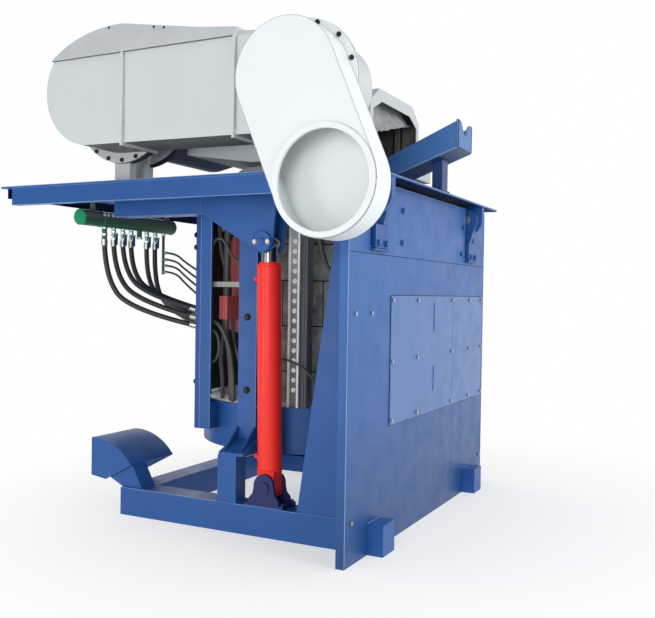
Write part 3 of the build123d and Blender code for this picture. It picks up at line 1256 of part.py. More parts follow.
INNER_LEADS = (
    (20, ((-1030, -590, 1293.5), (-1030, -590, 1450), (-1018, -600, 1750), (-1018, -600, 1909.5))),
    (13, ((-1019, -606, 1156.5), (-1019, -606, 1080), (-985, -600, 850), (-985, -600, 672.5))),
    (12, ((-1047, -583, 1156.5), (-1047, -583, 1060), (-1078, -575, 930), (-1072, -555, 800),
          (-1072, -555, 672.5))),
    (12, ((-1128.5, -645, 1150), (-1060, -645, 1150), (-985, -655, 1060), (-955, -622, 880),
          (-955, -622, 672.5))),
    (8, ((-1128.5, -650, 1100), (-1060, -650, 1100), (-1030, -652, 1000), (-1060, -650, 900),
         (-1128.5, -650, 900))),
    (8, ((-1096, -657.5, 1375.5), (-1096, -657.5, 1550), (-1070, -656, 1625), (-1010, -655, 1625),
         (-940, -655, 1490), (-873.5, -655, 1490))),
    (11, ((-1100, -570, 1909.5), (-1100, -570, 1660), (-1080, -560, 1500), (-1046, -530, 1400),
          (-1046, -530, 1293.5))),
    (10, ((-1020, -535, 1156.5), (-1020, -535, 1080), (-960, -575, 950), (-905, -570, 800),
          (-905, -570, 672.5))),
    (6, ((-754.5, -660, 955), (-600, -660, 955), (-480, -668, 915), (-410, -640, 830), (-400, -545, 740),
         (-400, -545, 672.5))),
    (12, ((-425, -600, 1909.5), (-425, -600, 1640), (-395, -605, 1530), (-330, -640, 1420),
          (-220.5, -640, 1420))),
)


def bend_radii(points):
    """Bend radius at each inner point: as round as the shorter run beside it allows."""
    radii = []
    for before, corner, after in zip(points, points[1:], points[2:]):
        run_in = Vector(*corner) - Vector(*before)
        run_out = Vector(*after) - Vector(*corner)
        half_turn = radians(run_in.get_angle(run_out)) / 2
        radii.append(0.45 * min(run_in.length, run_out.length) / tan(half_turn))
    return radii


def check_hose(name, piece, route, radius, radii):
    """Print the length, the tightest bend and how the volume compares with a round bar's."""
    share = piece.volume / (pi * radius**2 * route.length)
    print(f"{name}: length {route.length:.0f}, tightest bend {min(radii):.0f}, volume share {share:.4f}")


for hose_name, points in HOSES.items():
    radii = bend_radii(points)
    with BuildPart() as hose:
        with BuildLine() as hose_route:
            FilletPolyline(*points, radius=radii)
        with BuildSketch(Plane(origin=hose_route.wire() @ 0, z_dir=hose_route.wire() % 0)):
            Circle(HOSE_R)
        sweep()
    check_hose(hose_name, hose.part, hose_route.wire(), HOSE_R, radii)
    save(hose, hose_name)

with BuildPart() as thin_hoses:
    for points in THIN_HOSES:
        with BuildLine() as thin_route:
            FilletPolyline(*points, radius=bend_radii(points))
        with BuildSketch(Plane(origin=thin_route.wire() @ 0, z_dir=thin_route.wire() % 0)):
            Circle(THIN_HOSE_R)
        sweep(path=thin_route.wire())
        tightest = min(bend_radii(points))
        print(f"thin hose: length {thin_route.wire().length:.0f}, tightest bend {tightest:.0f}")
    for lead_r, points in INNER_LEADS:
        with BuildLine() as lead_route:
            FilletPolyline(*points, radius=bend_radii(points))
        with BuildSketch(Plane(origin=lead_route.wire() @ 0, z_dir=lead_route.wire() % 0)):
            Circle(lead_r)
        sweep(path=lead_route.wire())
        tightest = min(bend_radii(points))
        print(f"inner lead: length {lead_route.wire().length:.0f}, tightest bend {tightest:.0f}")
save(thin_hoses, "thin_hoses")
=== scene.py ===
"""Looks of the tilting melting furnace: finishes, welds, bolts, hoses, light and camera."""
import json
import math
import random

import bmesh
import bpy
from mathutils import Matrix, Vector


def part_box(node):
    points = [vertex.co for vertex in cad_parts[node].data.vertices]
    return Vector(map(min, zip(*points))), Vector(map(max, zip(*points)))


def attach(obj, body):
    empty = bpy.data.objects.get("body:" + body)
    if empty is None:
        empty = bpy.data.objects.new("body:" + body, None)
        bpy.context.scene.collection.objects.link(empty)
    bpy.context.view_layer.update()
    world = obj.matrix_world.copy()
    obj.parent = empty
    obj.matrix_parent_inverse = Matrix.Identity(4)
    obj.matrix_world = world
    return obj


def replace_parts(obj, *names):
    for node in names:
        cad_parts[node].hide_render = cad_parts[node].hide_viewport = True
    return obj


# Camera fitted to the photograph: place in metres, angles in degrees, lens and sensor in millimetres
CAMERA_AT = (1.70, -4.715, 1.316)
CAMERA_YAW = 26.63
CAMERA_PITCH = -1.054
CAMERA_ROLL = 0.875
CAMERA_LENS = 46.13
CAMERA_SENSOR = 36

# Brightness of the room on the near side and beyond the furnace
ROOM_NEAR = 0.35
ROOM_FAR = 1.0

# Lamps: place, aim and side in metres, power in watts
LAMPS = {
    "key": ((0.6, -8.0, 2.5), (-0.4, 0, 1.3), 3.2, 185),
    "low": ((-3.2, -5.6, 0.9), (-1.0, -0.5, 1.0), 1.6, 42),
    "side": ((5.5, -2.0, 3.5), (0, 0, 1.4), 2.5, 150),
}

# Floor: half its side, the distances over which it fades into the white backdrop, and how white it
# already is in the middle
FLOOR_HALF = 30.0
FADE_START = 0.6
FADE_END = 3.6
FLOOR_GLOW = 0.5

# Weld beads: radius and step in metres, share by which the radius ripples, and angle of each step's ripple
WELD_R = 0.0035
WELD_STEP = 0.006
WELD_RIPPLE = 0.22
RIPPLE_TURN = 2.1

# Bolts: thickness of the washer, then radii of the washer and of the hexagon's corners for each metre
# across the flats
WASHER_T = 0.0025
WASHER_SHARE = 0.82
HEXAGON_SHARE = 0.577

# Z of a face's normal where an underside starts to take its painted shade, and where the shade is full
UNDERSIDE_SHADE_START = -0.35
UNDERSIDE_SHADE_END = -0.75

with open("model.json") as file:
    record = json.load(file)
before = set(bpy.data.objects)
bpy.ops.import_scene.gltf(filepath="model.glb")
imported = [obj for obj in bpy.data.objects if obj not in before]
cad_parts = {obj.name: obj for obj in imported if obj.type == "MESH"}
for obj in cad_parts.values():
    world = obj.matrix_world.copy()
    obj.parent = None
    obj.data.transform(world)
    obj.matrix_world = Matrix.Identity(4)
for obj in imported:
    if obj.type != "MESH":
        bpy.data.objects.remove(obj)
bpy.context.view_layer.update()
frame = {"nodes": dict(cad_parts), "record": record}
NODES = frame["nodes"]

# Lowest and highest corners of the CAD nodes that the pieces are worked out from
DECK_LOW, DECK_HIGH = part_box("deck_plate")
CHANNELS_LOW, CHANNELS_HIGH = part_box("deck_channels")
PANEL_LOW, PANEL_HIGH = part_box("panel_upper")
BEAMS_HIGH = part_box("base_beams")[1]

# Centres of round pieces, in metres, as in the part's source
FURNACE_X = -0.760
RAM_Y = 0.785
BARREL_R = 0.0665
FOOT_PIN_X = -0.605
TOP_PIN_X = -0.630
TOP_PIN_Z = 1.588
BLOCK_Y = 0.780
TILT_Z = 1.820
SWIVEL_X = -0.208
SWIVEL_Z = 2.315
PIVOT_X = -1.530
PIVOT_Z = 2.385
MANIFOLD_X = -1.900
MANIFOLD_Z = 1.755
VALVE_Z = 1.668
SIDE_PIPE_Y = -0.065

# Outer faces of the furnace frame's posts, and front of the coil columns
POST_FACE = 0.700
COLUMN_FACE = -0.640

# Slotted column: studs, and left edges and width of its strips; then the same of the plain column's ribs
STUD_COUNT = 16
STUD_PITCH = 0.055
STUD_X = -0.548
STRIP_XS = (-0.583, -0.525)
STRIP_W = 0.012
RIB_XS = (-0.503, -0.488, -0.473)
RIB_W = 0.006

# Brickwork round the coil: radius of its joints, heights of the courses, and bricks in a course
JOINT_R = 0.4565
COURSES = (0.860, 1.124, 1.388, 1.600)
BRICKS = 12

# Spout, as in the part's source
SPOUT_LEFT = -0.420
SPOUT_RIGHT = 0.212
SPOUT_LEFT_Z = 1.921
SPOUT_RIGHT_Z = 2.160
SPOUT_HALF = 0.130
SPOUT_T = 0.014
SPOUT_TOP = 2.316
SPOUT_SLOPE = 0.239 / 0.632

# Inside of the hood's tunnel
HOOD_LEFT = -1.200
HOOD_MOUTH = -0.227
HOOD_BOTTOM = 2.184
HOOD_HALF = 0.3785
HOOD_TOP_HALF = 0.2550

# Long duct: front sheet, the height where its top is folded back, and how far back for each metre up
DUCT_FRONT = -1.2295
FOLD_Z = 2.578
FOLD_SHARE = 0.466


# Materials

def new_material(name):
    """A new node material, with its node tree and its principled shader."""
    material = bpy.data.materials.new(name)
    material.use_nodes = True
    tree = material.node_tree
    shader = tree.nodes["Principled BSDF"]
    return material, tree, shader


def noise(tree, scale, detail=4.0, rough=0.6, stretch=(1, 1, 1)):
    """A noise texture in the object's own coordinates, which ride with the piece."""
    coords = tree.nodes.new("ShaderNodeTexCoord")
    mapping = tree.nodes.new("ShaderNodeMapping")
    mapping.inputs["Scale"].default_value = stretch
    texture = tree.nodes.new("ShaderNodeTexNoise")
    texture.inputs["Scale"].default_value = scale
    texture.inputs["Detail"].default_value = detail
    texture.inputs["Roughness"].default_value = rough
    tree.links.new(coords.outputs["Object"], mapping.inputs["Vector"])
    tree.links.new(mapping.outputs["Vector"], texture.inputs["Vector"])
    return texture.outputs["Fac"]


def ramp(tree, factor, low, high, first, second):
    """Blends from the first colour to the second as the factor goes from low to high."""
    blend = tree.nodes.new("ShaderNodeValToRGB")
    blend.color_ramp.elements[0].position = low
    blend.color_ramp.elements[1].position = high
    blend.color_ramp.elements[0].color = (*first, 1)
    blend.color_ramp.elements[1].color = (*second, 1)
    tree.links.new(factor, blend.inputs["Fac"])
    return blend.outputs["Color"]


def mapped(tree, value, start, end, low=0.0, high=1.0, smooth=False):
    """A value's way from start to end, mapped onto a range and held at its ends."""
    level = tree.nodes.new("ShaderNodeMapRange")
    level.inputs["From Min"].default_value = start
    level.inputs["From Max"].default_value = end
    level.inputs["To Min"].default_value = low
    level.inputs["To Max"].default_value = high
    if smooth:
        level.interpolation_type = "SMOOTHSTEP"
    tree.links.new(value, level.inputs["Value"])
    return level.outputs["Result"]


def spread(tree, factor, low, high):
    """Maps the middle of a noise texture onto a range of values."""
    return mapped(tree, factor, 0.3, 0.7, low, high)


def mixed(tree, factor, first, second):
    """Blends a colour socket into a plain colour by a factor."""
    mix = tree.nodes.new("ShaderNodeMix")
    mix.data_type = "RGBA"
    tree.links.new(factor, mix.inputs["Factor"])
    tree.links.new(first, mix.inputs["A"])
    mix.inputs["B"].default_value = (*second, 1)
    return mix.outputs["Result"]


def split(tree, output):
    """The X, Y and Z of a texture coordinate, by name."""
    coords = tree.nodes.new("ShaderNodeTexCoord")
    parts = tree.nodes.new("ShaderNodeSeparateXYZ")
    tree.links.new(coords.outputs[output], parts.inputs["Vector"])
    return parts.outputs


def add_bump(tree, shader, height, strength, distance):
    """A bump from a height value."""
    bump = tree.nodes.new("ShaderNodeBump")
    bump.inputs["Strength"].default_value = strength
    bump.inputs["Distance"].default_value = distance
    tree.links.new(height, bump.inputs["Height"])
    tree.links.new(bump.outputs["Normal"], shader.inputs["Normal"])


def tinted(colour, gain):
    """A colour made lighter or darker."""
    return tuple(min(1.0, channel * gain) for channel in colour)


def darker_below(tree, colour, low, high, share):
    """Darkens a colour to a share of itself, going down between two heights in metres: painted shade."""
    level = mapped(tree, split(tree, "Object")["Z"], low, high, share)
    scaled = tree.nodes.new("ShaderNodeVectorMath")
    scaled.operation = "SCALE"
    tree.links.new(colour, scaled.inputs[0])
    tree.links.new(level, scaled.inputs["Scale"])
    return scaled.outputs["Vector"]


def paint(name, colour, roughness=0.35, wear=0.10, waviness=0.15, gloss=0.3, painted_shade_below=None):
    """Sprayed enamel on plate: soft tone shifts, patches of roughness, a little orange peel, and painted
    shade towards the bottom when asked.
    """
    material, tree, shader = new_material(name)
    clouds = noise(tree, 2.2, detail=6.0)
    tone = ramp(tree, clouds, 0.30, 0.72, tinted(colour, 1 - wear), tinted(colour, 1 + wear))
    # Painted shade: the colour darkens towards the bottom.
    if painted_shade_below:
        tone = darker_below(tree, tone, *painted_shade_below)
    tree.links.new(tone, shader.inputs["Base Color"])
    patches = noise(tree, 7.0, detail=5.0)
    tree.links.new(spread(tree, patches, roughness - 0.07, roughness + 0.12), shader.inputs["Roughness"])
    shader.inputs["Specular IOR Level"].default_value = gloss
    add_bump(tree, shader, noise(tree, 260.0, detail=2.0), waviness, 0.0006)
    return material


def metal(name, colour, roughness=0.3, metallic=1.0, painted_shade_below=None):
    """Bright metal with fine marks along one direction, and painted shade towards the bottom when asked."""
    material, tree, shader = new_material(name)
    marks = noise(tree, 30.0, detail=5.0, stretch=(1, 1, 40))
    tone = ramp(tree, marks, 0.3, 0.7, tinted(colour, 0.88), tinted(colour, 1.08))
    # Painted shade: the colour darkens towards the bottom.
    if painted_shade_below:
        tone = darker_below(tree, tone, *painted_shade_below)
    tree.links.new(tone, shader.inputs["Base Color"])
    tree.links.new(spread(tree, marks, roughness - 0.05, roughness + 0.12), shader.inputs["Roughness"])
    shader.inputs["Metallic"].default_value = metallic
    add_bump(tree, shader, marks, 0.12, 0.0003)
    return material


def mineral(name, colour, dark, scale=18.0, roughness=0.9):
    """Rammed or trowelled refractory: grainy, mottled and matt."""
    material, tree, shader = new_material(name)
    grain = noise(tree, scale, detail=10.0, rough=0.75)
    tone = ramp(tree, grain, 0.32, 0.66, dark, colour)
    tree.links.new(tone, shader.inputs["Base Color"])
    shader.inputs["Roughness"].default_value = roughness
    add_bump(tree, shader, noise(tree, scale * 5, detail=8.0, rough=0.8), 0.6, 0.003)
    return material


def dust_and_shade_enamel(name, colour, mottle, roughness=0.42, lowest=0.15, below=None):
    """Enamel whose upward faces take a second colour, partly settled dirt and partly painted shade, and
    whose undersides may take a darker colour that is painted shade.
    """
    material, tree, shader = new_material(name)
    facing = split(tree, "Normal")["Z"]
    base = ramp(tree, noise(tree, 3.0, detail=7.0), 0.30, 0.72, tinted(colour, 0.97), tinted(colour, 1.03))
    # Upward faces take the mottle colour: partly settled dirt, partly painted shade such as the long duct's
    # darker top.
    patchy = tree.nodes.new("ShaderNodeMath")
    patchy.operation = "MULTIPLY"
    tree.links.new(mapped(tree, facing, lowest, lowest + 0.6), patchy.inputs[0])
    tree.links.new(spread(tree, noise(tree, 8.0, detail=8.0), 0.45, 1.0), patchy.inputs[1])
    tone = mixed(tree, patchy.outputs["Value"], base, mottle)
    # Painted shade: undersides take the darker colour.
    if below:
        tone = mixed(tree, mapped(tree, facing, UNDERSIDE_SHADE_START, UNDERSIDE_SHADE_END), tone, below)
    tree.links.new(tone, shader.inputs["Base Color"])
    shader.inputs["Roughness"].default_value = roughness
    shader.inputs["Specular IOR Level"].default_value = 0.3
    add_bump(tree, shader, noise(tree, 260.0, detail=2.0), 0.12, 0.0006)
    return material


def rubber(name, colour):
    """Hose rubber: matt, paler in patches of dirt, with a fine cloth mark."""
    material, tree, shader = new_material(name)
    mottle = noise(tree, 9.0, detail=6.0)
    tone = ramp(tree, mottle, 0.35, 0.75, colour, tinted(colour, 2.2))
    tree.links.new(tone, shader.inputs["Base Color"])
    tree.links.new(spread(tree, mottle, 0.45, 0.65), shader.inputs["Roughness"])
    add_bump(tree, shader, noise(tree, 420.0, detail=2.0), 0.3, 0.0005)
    return material


# Looks of the material slots
LOOKS = {
    "frame_blue": paint("frame_blue_paint", (0.019, 0.090, 0.310), 0.36),
    # The outer panel's blue carries painted shade: it is darker towards the floor.
    "panel_blue": paint("panel_blue_paint", (0.027, 0.112, 0.350), 0.34, painted_shade_below=(0.15, 1.10, 0.62)),
    "duct_grey": paint("duct_grey_paint", (0.50, 0.555, 0.575), 0.42, 0.035, 0.10),
    "steel": metal("zinc_steel", (0.46, 0.46, 0.47), 0.34),
    "ram_red": paint("ram_red_enamel", (0.90, 0.028, 0.018), 0.34, 0.04, 0.0),
    # Chrome made dark: painted shade standing for the dark surroundings that the rod reflects.
    "rod_chrome": metal("rod_chrome", (0.24, 0.24, 0.25), 0.12),
    "refractory": mineral("rammed_refractory", (0.60, 0.58, 0.54), (0.36, 0.34, 0.31)),
    "coil_cement": mineral("jacket_brick", (0.560, 0.560, 0.570), (0.090, 0.090, 0.095), 7.0),
    "coil_copper": metal("coil_copper", (0.55, 0.26, 0.13), 0.35),
    "yoke_red": paint("yoke_varnish", (0.46, 0.095, 0.095), 0.45, 0.28, 0.3, 0.2),
    "manifold_green": dust_and_shade_enamel("manifold_dusty", (0.014, 0.110, 0.058), (0.230, 0.215, 0.180), 0.5, -0.25),
    "valve_steel": metal("valve_nickel", (0.52, 0.50, 0.46), 0.28),
    "hose_rubber": rubber("hose_rubber", (0.018, 0.018, 0.020)),
    "lever_blue": paint("lever_blue_grip", (0.015, 0.045, 0.22), 0.5, 0.05, 0.2, 0.2),
}

# Looks of single nodes and of the pieces added here
COVER = paint("cover_blue_paint", (0.052, 0.145, 0.385), 0.28, 0.08, gloss=0.5)
NAVY = paint("clevis_navy_paint", (0.014, 0.022, 0.110), 0.42, 0.15)
SHADE = paint("shaded_navy_paint", (0.005, 0.011, 0.036), 0.60, 0.12, gloss=0.05)
# Spout: greyer blue on its upward faces, and painted shade on its undersides.
SPOUT_BLUE = dust_and_shade_enamel("spout_blue_paint", (0.048, 0.155, 0.400), (0.070, 0.160, 0.360), 0.34,
                   below=(0.016, 0.045, 0.125))
# A darker copy of the frame blue: painted shade on the post under the spout.
SPOUT_POST_SHADE_BLUE = paint("spout_post_shade_paint", (0.014, 0.048, 0.160), 0.40, 0.12)
SLATE = paint("column_slate", (0.105, 0.115, 0.140), 0.5, 0.15)
# The slotted column's silver carries painted light and shade: lighter at its top, darker below 1.6 m.
SILVER = metal("slotted_silver", (0.40, 0.40, 0.40), 0.48, 0.35, painted_shade_below=(1.15, 1.60, 0.50))
# Near-white zinc, lighter than the bare metal: painted highlight on the column's strips and studs and on the
# manifold's plugs.
BRIGHT = metal("zinc_with_painted_highlight", (0.93, 0.93, 0.94), 0.36, 0.1)
BLACK = paint("black_bolt", (0.012, 0.012, 0.014), 0.45, 0.2)
# The outlet arm's enamel is the long duct's grey made lighter: painted light where the arm stands nearer the
# lamp.
ARM_LIT_WHITE = paint("outlet_arm_lit_enamel", (0.73, 0.775, 0.79), 0.36, 0.02, 0.08)
# Long duct: painted shade darkens its upward faces and its undersides.
DUCT_WHITE = dust_and_shade_enamel("long_duct_enamel", (0.55, 0.59, 0.605), (0.36, 0.38, 0.40), below=(0.105, 0.115, 0.100))
# Hood base: darker on its upward faces, and painted shade on its undersides.
HOOD_GREY = dust_and_shade_enamel("hood_base_enamel", (0.55, 0.60, 0.60), (0.33, 0.34, 0.34), below=(0.210, 0.165, 0.105))
BEAD = paint("painted_weld", (0.060, 0.160, 0.400), 0.40, 0.15, 0.4)
BEAD_PALE = paint("painted_seam", (0.33, 0.37, 0.39), 0.45, 0.12, 0.4)
# Light blue for beads and edge lines: painted highlight.
BEAD_HIGHLIGHT = paint("painted_highlight_bead", (0.200, 0.330, 0.560), 0.38, 0.15, 0.4)
# Soot together with painted shade, for the inside of the hood's tunnel.
SOOT_AND_SHADE = mineral("hood_soot_and_shade", (0.110, 0.104, 0.100), (0.045, 0.042, 0.040), 6.0)
SOOT_AND_SHADE_PALE = mineral("hood_soot_and_shade_pale", (0.240, 0.230, 0.220), (0.110, 0.105, 0.100), 8.0)
FIBRE = mineral("fibre_blanket", (0.46, 0.485, 0.50), (0.20, 0.21, 0.22), 12.0, 0.95)
LEDGE = mineral("ledge_refractory", (0.95, 0.95, 0.95), (0.62, 0.61, 0.60), 22.0)
# Near-black board: painted shade behind the coil's leads.
SHADE_BOARD = mineral("shade_board", (0.060, 0.058, 0.056), (0.016, 0.015, 0.015), 9.0)
LEAD = rubber("lead_rubber", (0.045, 0.044, 0.043))
MORTAR = mineral("brick_joint", (0.030, 0.029, 0.028), (0.012, 0.012, 0.011), 20.0)
GROOVED = mineral("spout_groove", (0.075, 0.080, 0.095), (0.022, 0.024, 0.030), 16.0)
# A lighter copy of the manifold's green for its end cap and weld rings: painted light on the lit end.
LIT_GREEN_CAP = paint("lit_green_manifold_cap", (0.010, 0.290, 0.120), 0.30, 0.08)
TEAL = metal("valve_teal", (0.45, 0.60, 0.56), 0.35)
NODE_FINISHES = {
    "clevis_bases": NAVY, "clevis_pins": NAVY, "coil_columns": SILVER, "outlet_duct": ARM_LIT_WHITE,
    "outlet_face": ARM_LIT_WHITE, "swing_duct": DUCT_WHITE, "duct_stand": DUCT_WHITE, "hood_base": HOOD_GREY,
    "hood_shell": HOOD_GREY, "duct_bolts": BLACK, "joint_bolts": BLACK, "refractory_base": LEDGE,
    "access_cover": COVER, "side_cover": COVER, "pin_caps": LOOKS["frame_blue"],
}


def smooth(data, degrees):
    """Smooth shading, with edges kept sharp from an angle on."""
    for face in data.polygons:
        face.use_smooth = True
    data.set_sharp_from_angle(angle=math.radians(degrees))


def dress_nodes():
    """Gives every CAD node its own look or the look of its slot, and smooths what is round."""
    slots = {part["node"]: part["material_slot"] for part in frame["record"]["subparts"]}
    for name, node in NODES.items():
        node.data.materials.clear()
        node.data.materials.append(NODE_FINISHES.get(name, LOOKS[slots[name]]))
        smooth(node.data, 28)


# Pieces

def new_object(name, data):
    """A new object in the scene."""
    made = bpy.data.objects.new(name, data)
    bpy.context.scene.collection.objects.link(made)
    return made


class Kit:
    """Collects simple solids of one look that ride on one body, and joins them into one piece."""

    def __init__(self, name, look, slot="frame_blue", body="tilting_frame"):
        self.name = name
        self.look = look
        self.slot = slot
        self.body = body
        self.mesh = bmesh.new()

    def box(self, low, high):
        """A box between two corners."""
        low, high = Vector(low), Vector(high)
        place = Matrix.Translation((low + high) / 2) @ Matrix.Diagonal((*(high - low), 1))
        bmesh.ops.create_cube(self.mesh, size=1, matrix=place)

    def rod(self, start, end, radius, sides=20, radius_end=None):
        """A round or many-sided bar between two points."""
        start, end = Vector(start), Vector(end)
        along = end - start
        turn = along.to_track_quat("Z", "Y").to_matrix().to_4x4()
        place = Matrix.Translation((start + end) / 2) @ turn
        bmesh.ops.create_cone(self.mesh, cap_ends=True, segments=sides, radius1=radius,
                              radius2=radius if radius_end is None else radius_end,
                              depth=along.length, matrix=place)

    def skin(self, rows):
        """Closes a row of points with the next one all along, and each end with one face."""
        rows = [[self.mesh.verts.new(point) for point in row] for row in rows]
        self.mesh.faces.new(rows[0])
        self.mesh.faces.new(rows[-1])
        count = len(rows[0])
        for row, following in zip(rows, rows[1:]):
            for index in range(count):
                other = (index + 1) % count
                self.mesh.faces.new((row[index], row[other], following[other], following[index]))

    def plate(self, outline, axis, low, high):
        """A flat outline in the other two axes, given thickness along one axis."""
        rows = []
        for level in (low, high):
            row = [list(corner) for corner in outline]
            for corner in row:
                corner.insert(axis, level)
            rows.append(row)
        self.skin(rows)

    def bolt(self, foot, axis, across=0.022, height=0.009):
        """A washer and a hexagon head, standing on a face."""
        foot, axis = Vector(foot), Vector(axis).normalized()
        top = foot + axis * WASHER_T
        self.rod(foot, top, across * WASHER_SHARE, 24)
        self.rod(top, top + axis * height, across * HEXAGON_SHARE, 6)

    def ring(self, centre, axis, radius, thickness, sides=48):
        """A round bar bent to a ring."""
        turn = Vector(axis).normalized().to_track_quat("Z", "Y").to_matrix()
        points = []
        for step in range(sides + 1):
            angle = 2 * math.pi * step / sides
            points.append(Vector(centre) + turn @ Vector((math.cos(angle), math.sin(angle), 0)) * radius)
        self.tube(points, thickness)

    def tube(self, points, radius, ripple=0.0):
        """A six-sided tube along points; a ripple gives the scales of a weld bead."""
        points = [Vector(point) for point in points]
        rings = []
        for index, point in enumerate(points):
            before = points[max(index - 1, 0)]
            after = points[min(index + 1, len(points) - 1)]
            turn = (after - before).to_track_quat("Z", "Y").to_matrix()
            size = radius * (1 + ripple * math.sin(index * RIPPLE_TURN))
            ring = []
            for side in range(6):
                angle = 2 * math.pi * side / 6
                ring.append(point + turn @ Vector((math.cos(angle) * size, math.sin(angle) * size, 0)))
            rings.append(ring)
        self.skin(rings)

    def weld(self, start, end, radius=WELD_R):
        """A straight weld bead between two points."""
        start, end = Vector(start), Vector(end)
        count = max(2, round((end - start).length / WELD_STEP))
        self.tube([start.lerp(end, step / count) for step in range(count + 1)], radius, WELD_RIPPLE)

    def done(self, bevel=0.0):
        """Makes the object, and lets it ride on its body."""
        data = bpy.data.meshes.new(self.name)
        bmesh.ops.recalc_face_normals(self.mesh, faces=self.mesh.faces)
        self.mesh.to_mesh(data)
        self.mesh.free()
        data.materials.append(self.look)
        smooth(data, 35)
        piece = new_object(self.name, data)
        if bevel:
            rounding = piece.modifiers.new("edges", "BEVEL")
            rounding.width = bevel
            rounding.segments = 2
            rounding.limit_method = "ANGLE"
        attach(piece, self.body)
        return piece


# Hoses: length along the curve, then the points of the part's source, as control points of smooth curves
HOSES = {
    "hose_1": (0.911, ((-1.900, -0.655, 1.633), (-1.896, -0.650, 1.400), (-1.740, -0.600, 1.195),
                       (-1.352, -0.437, 1.105))),
    "hose_2": (0.840, ((-1.900, -0.571, 1.633), (-1.894, -0.566, 1.430), (-1.730, -0.530, 1.245),
                       (-1.3505, -0.437, 1.155))),
    "hose_3": (0.786, ((-1.900, -0.484, 1.633), (-1.892, -0.482, 1.455), (-1.722, -0.470, 1.290),
                       (-1.350, -0.437, 1.205))),
    "hose_4": (0.789, ((-1.900, -0.403, 1.633), (-1.896, -0.403, 1.445), (-1.722, -0.405, 1.290),
                       (-1.350, -0.393, 1.205))),
    "hose_6": (0.857, ((-1.900, -0.243, 1.633), (-1.905, -0.244, 1.415), (-1.735, -0.290, 1.240),
                       (-1.3505, -0.393, 1.155))),
    "hose_7": (0.929, ((-1.900, -0.155, 1.633), (-1.906, -0.158, 1.390), (-1.745, -0.215, 1.190),
                       (-1.3525, -0.393, 1.105))),
}
THIN_HOSES = (
    ((-1.8755, -0.065, 1.577), (-1.790, -0.068, 1.572), (-1.600, -0.210, 1.500), (-1.350, -0.415, 1.440)),
    ((-1.8755, -0.065, 1.531), (-1.790, -0.068, 1.526), (-1.600, -0.210, 1.452), (-1.350, -0.415, 1.390)),
    ((-1.8755, -0.065, 1.490), (-1.790, -0.068, 1.485), (-1.600, -0.210, 1.408), (-1.350, -0.415, 1.340)),
    ((-1.8755, -0.065, 1.447), (-1.790, -0.068, 1.442), (-1.600, -0.210, 1.362), (-1.350, -0.415, 1.290)),
)
# Leads behind the posts: radius, length along the curve, control points
INNER_LEADS = (
    (0.020, 0.616, ((-1.030, -0.590, 1.2935), (-1.030, -0.590, 1.450), (-1.018, -0.600, 1.750),
                    (-1.018, -0.600, 1.9095))),
    (0.013, 0.486, ((-1.019, -0.606, 1.1565), (-1.019, -0.606, 1.080), (-0.985, -0.600, 0.850),
                    (-0.985, -0.600, 0.6725))),
    (0.012, 0.487, ((-1.047, -0.583, 1.1565), (-1.047, -0.583, 1.060), (-1.078, -0.575, 0.930),
                    (-1.072, -0.555, 0.800), (-1.072, -0.555, 0.6725))),
    (0.012, 0.566, ((-1.1285, -0.645, 1.150), (-1.060, -0.645, 1.150), (-0.985, -0.655, 1.060),
                    (-0.955, -0.622, 0.880), (-0.955, -0.622, 0.6725))),
    (0.008, 0.312, ((-1.1285, -0.650, 1.100), (-1.060, -0.650, 1.100), (-1.030, -0.652, 1.000),
                    (-1.060, -0.650, 0.900), (-1.1285, -0.650, 0.900))),
    (0.008, 0.501, ((-1.096, -0.6575, 1.3755), (-1.096, -0.6575, 1.550), (-1.070, -0.656, 1.625),
                    (-1.010, -0.655, 1.625), (-0.940, -0.655, 1.490), (-0.8735, -0.655, 1.490))),
    (0.011, 0.624, ((-1.100, -0.570, 1.9095), (-1.100, -0.570, 1.660), (-1.080, -0.560, 1.500),
                    (-1.046, -0.530, 1.400), (-1.046, -0.530, 1.2935))),
    (0.010, 0.506, ((-1.020, -0.535, 1.1565), (-1.020, -0.535, 1.080), (-0.960, -0.575, 0.950),
                    (-0.905, -0.570, 0.800), (-0.905, -0.570, 0.6725))),
    (0.006, 0.575, ((-0.7545, -0.660, 0.955), (-0.600, -0.660, 0.955), (-0.480, -0.668, 0.915),
                    (-0.410, -0.640, 0.830), (-0.400, -0.545, 0.740), (-0.400, -0.545, 0.6725))),
    (0.012, 0.608, ((-0.425, -0.600, 1.9095), (-0.425, -0.600, 1.640), (-0.395, -0.605, 1.530),
                    (-0.330, -0.640, 1.420), (-0.2205, -0.640, 1.420))),
)
HOSE_R = 0.016
THIN_HOSE_R = 0.007

# Every long hose hangs from a ball valve, but for the first
VALVE_YS = [points[0][1] for name, (length, points) in HOSES.items() if name != "hose_1"]


def hose(name, node, points, radius, finish):
    """A rubber hose as one smooth curve through its control points."""
    curve = bpy.data.curves.new(name, "CURVE")
    curve.dimensions = "3D"
    curve.bevel_depth = radius
    curve.bevel_resolution = 5
    curve.use_fill_caps = True
    spline = curve.splines.new("NURBS")
    spline.points.add(len(points) - 1)
    for control, point in zip(spline.points, points):
        control.co = (*point, 1)
    spline.order_u = 3
    spline.use_endpoint_u = True
    spline.resolution_u = 16
    curve.materials.append(finish)
    piece = new_object(name, curve)
    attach(piece, "tilting_frame")
    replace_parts(piece, node)


def add_ferrules(kit, points, radius):
    """A ferrule with two crimp rings over each end of a hose."""
    for end, beside in ((points[0], points[1]), (points[-1], points[-2])):
        end = Vector(end)
        along = (Vector(beside) - end).normalized()
        kit.rod(end, end + along * radius * 2.4, radius * 1.22)
        for share in (0.7, 1.6):
            middle = end + along * radius * share
            kit.rod(middle, middle + along * radius * 0.25, radius * 1.34)


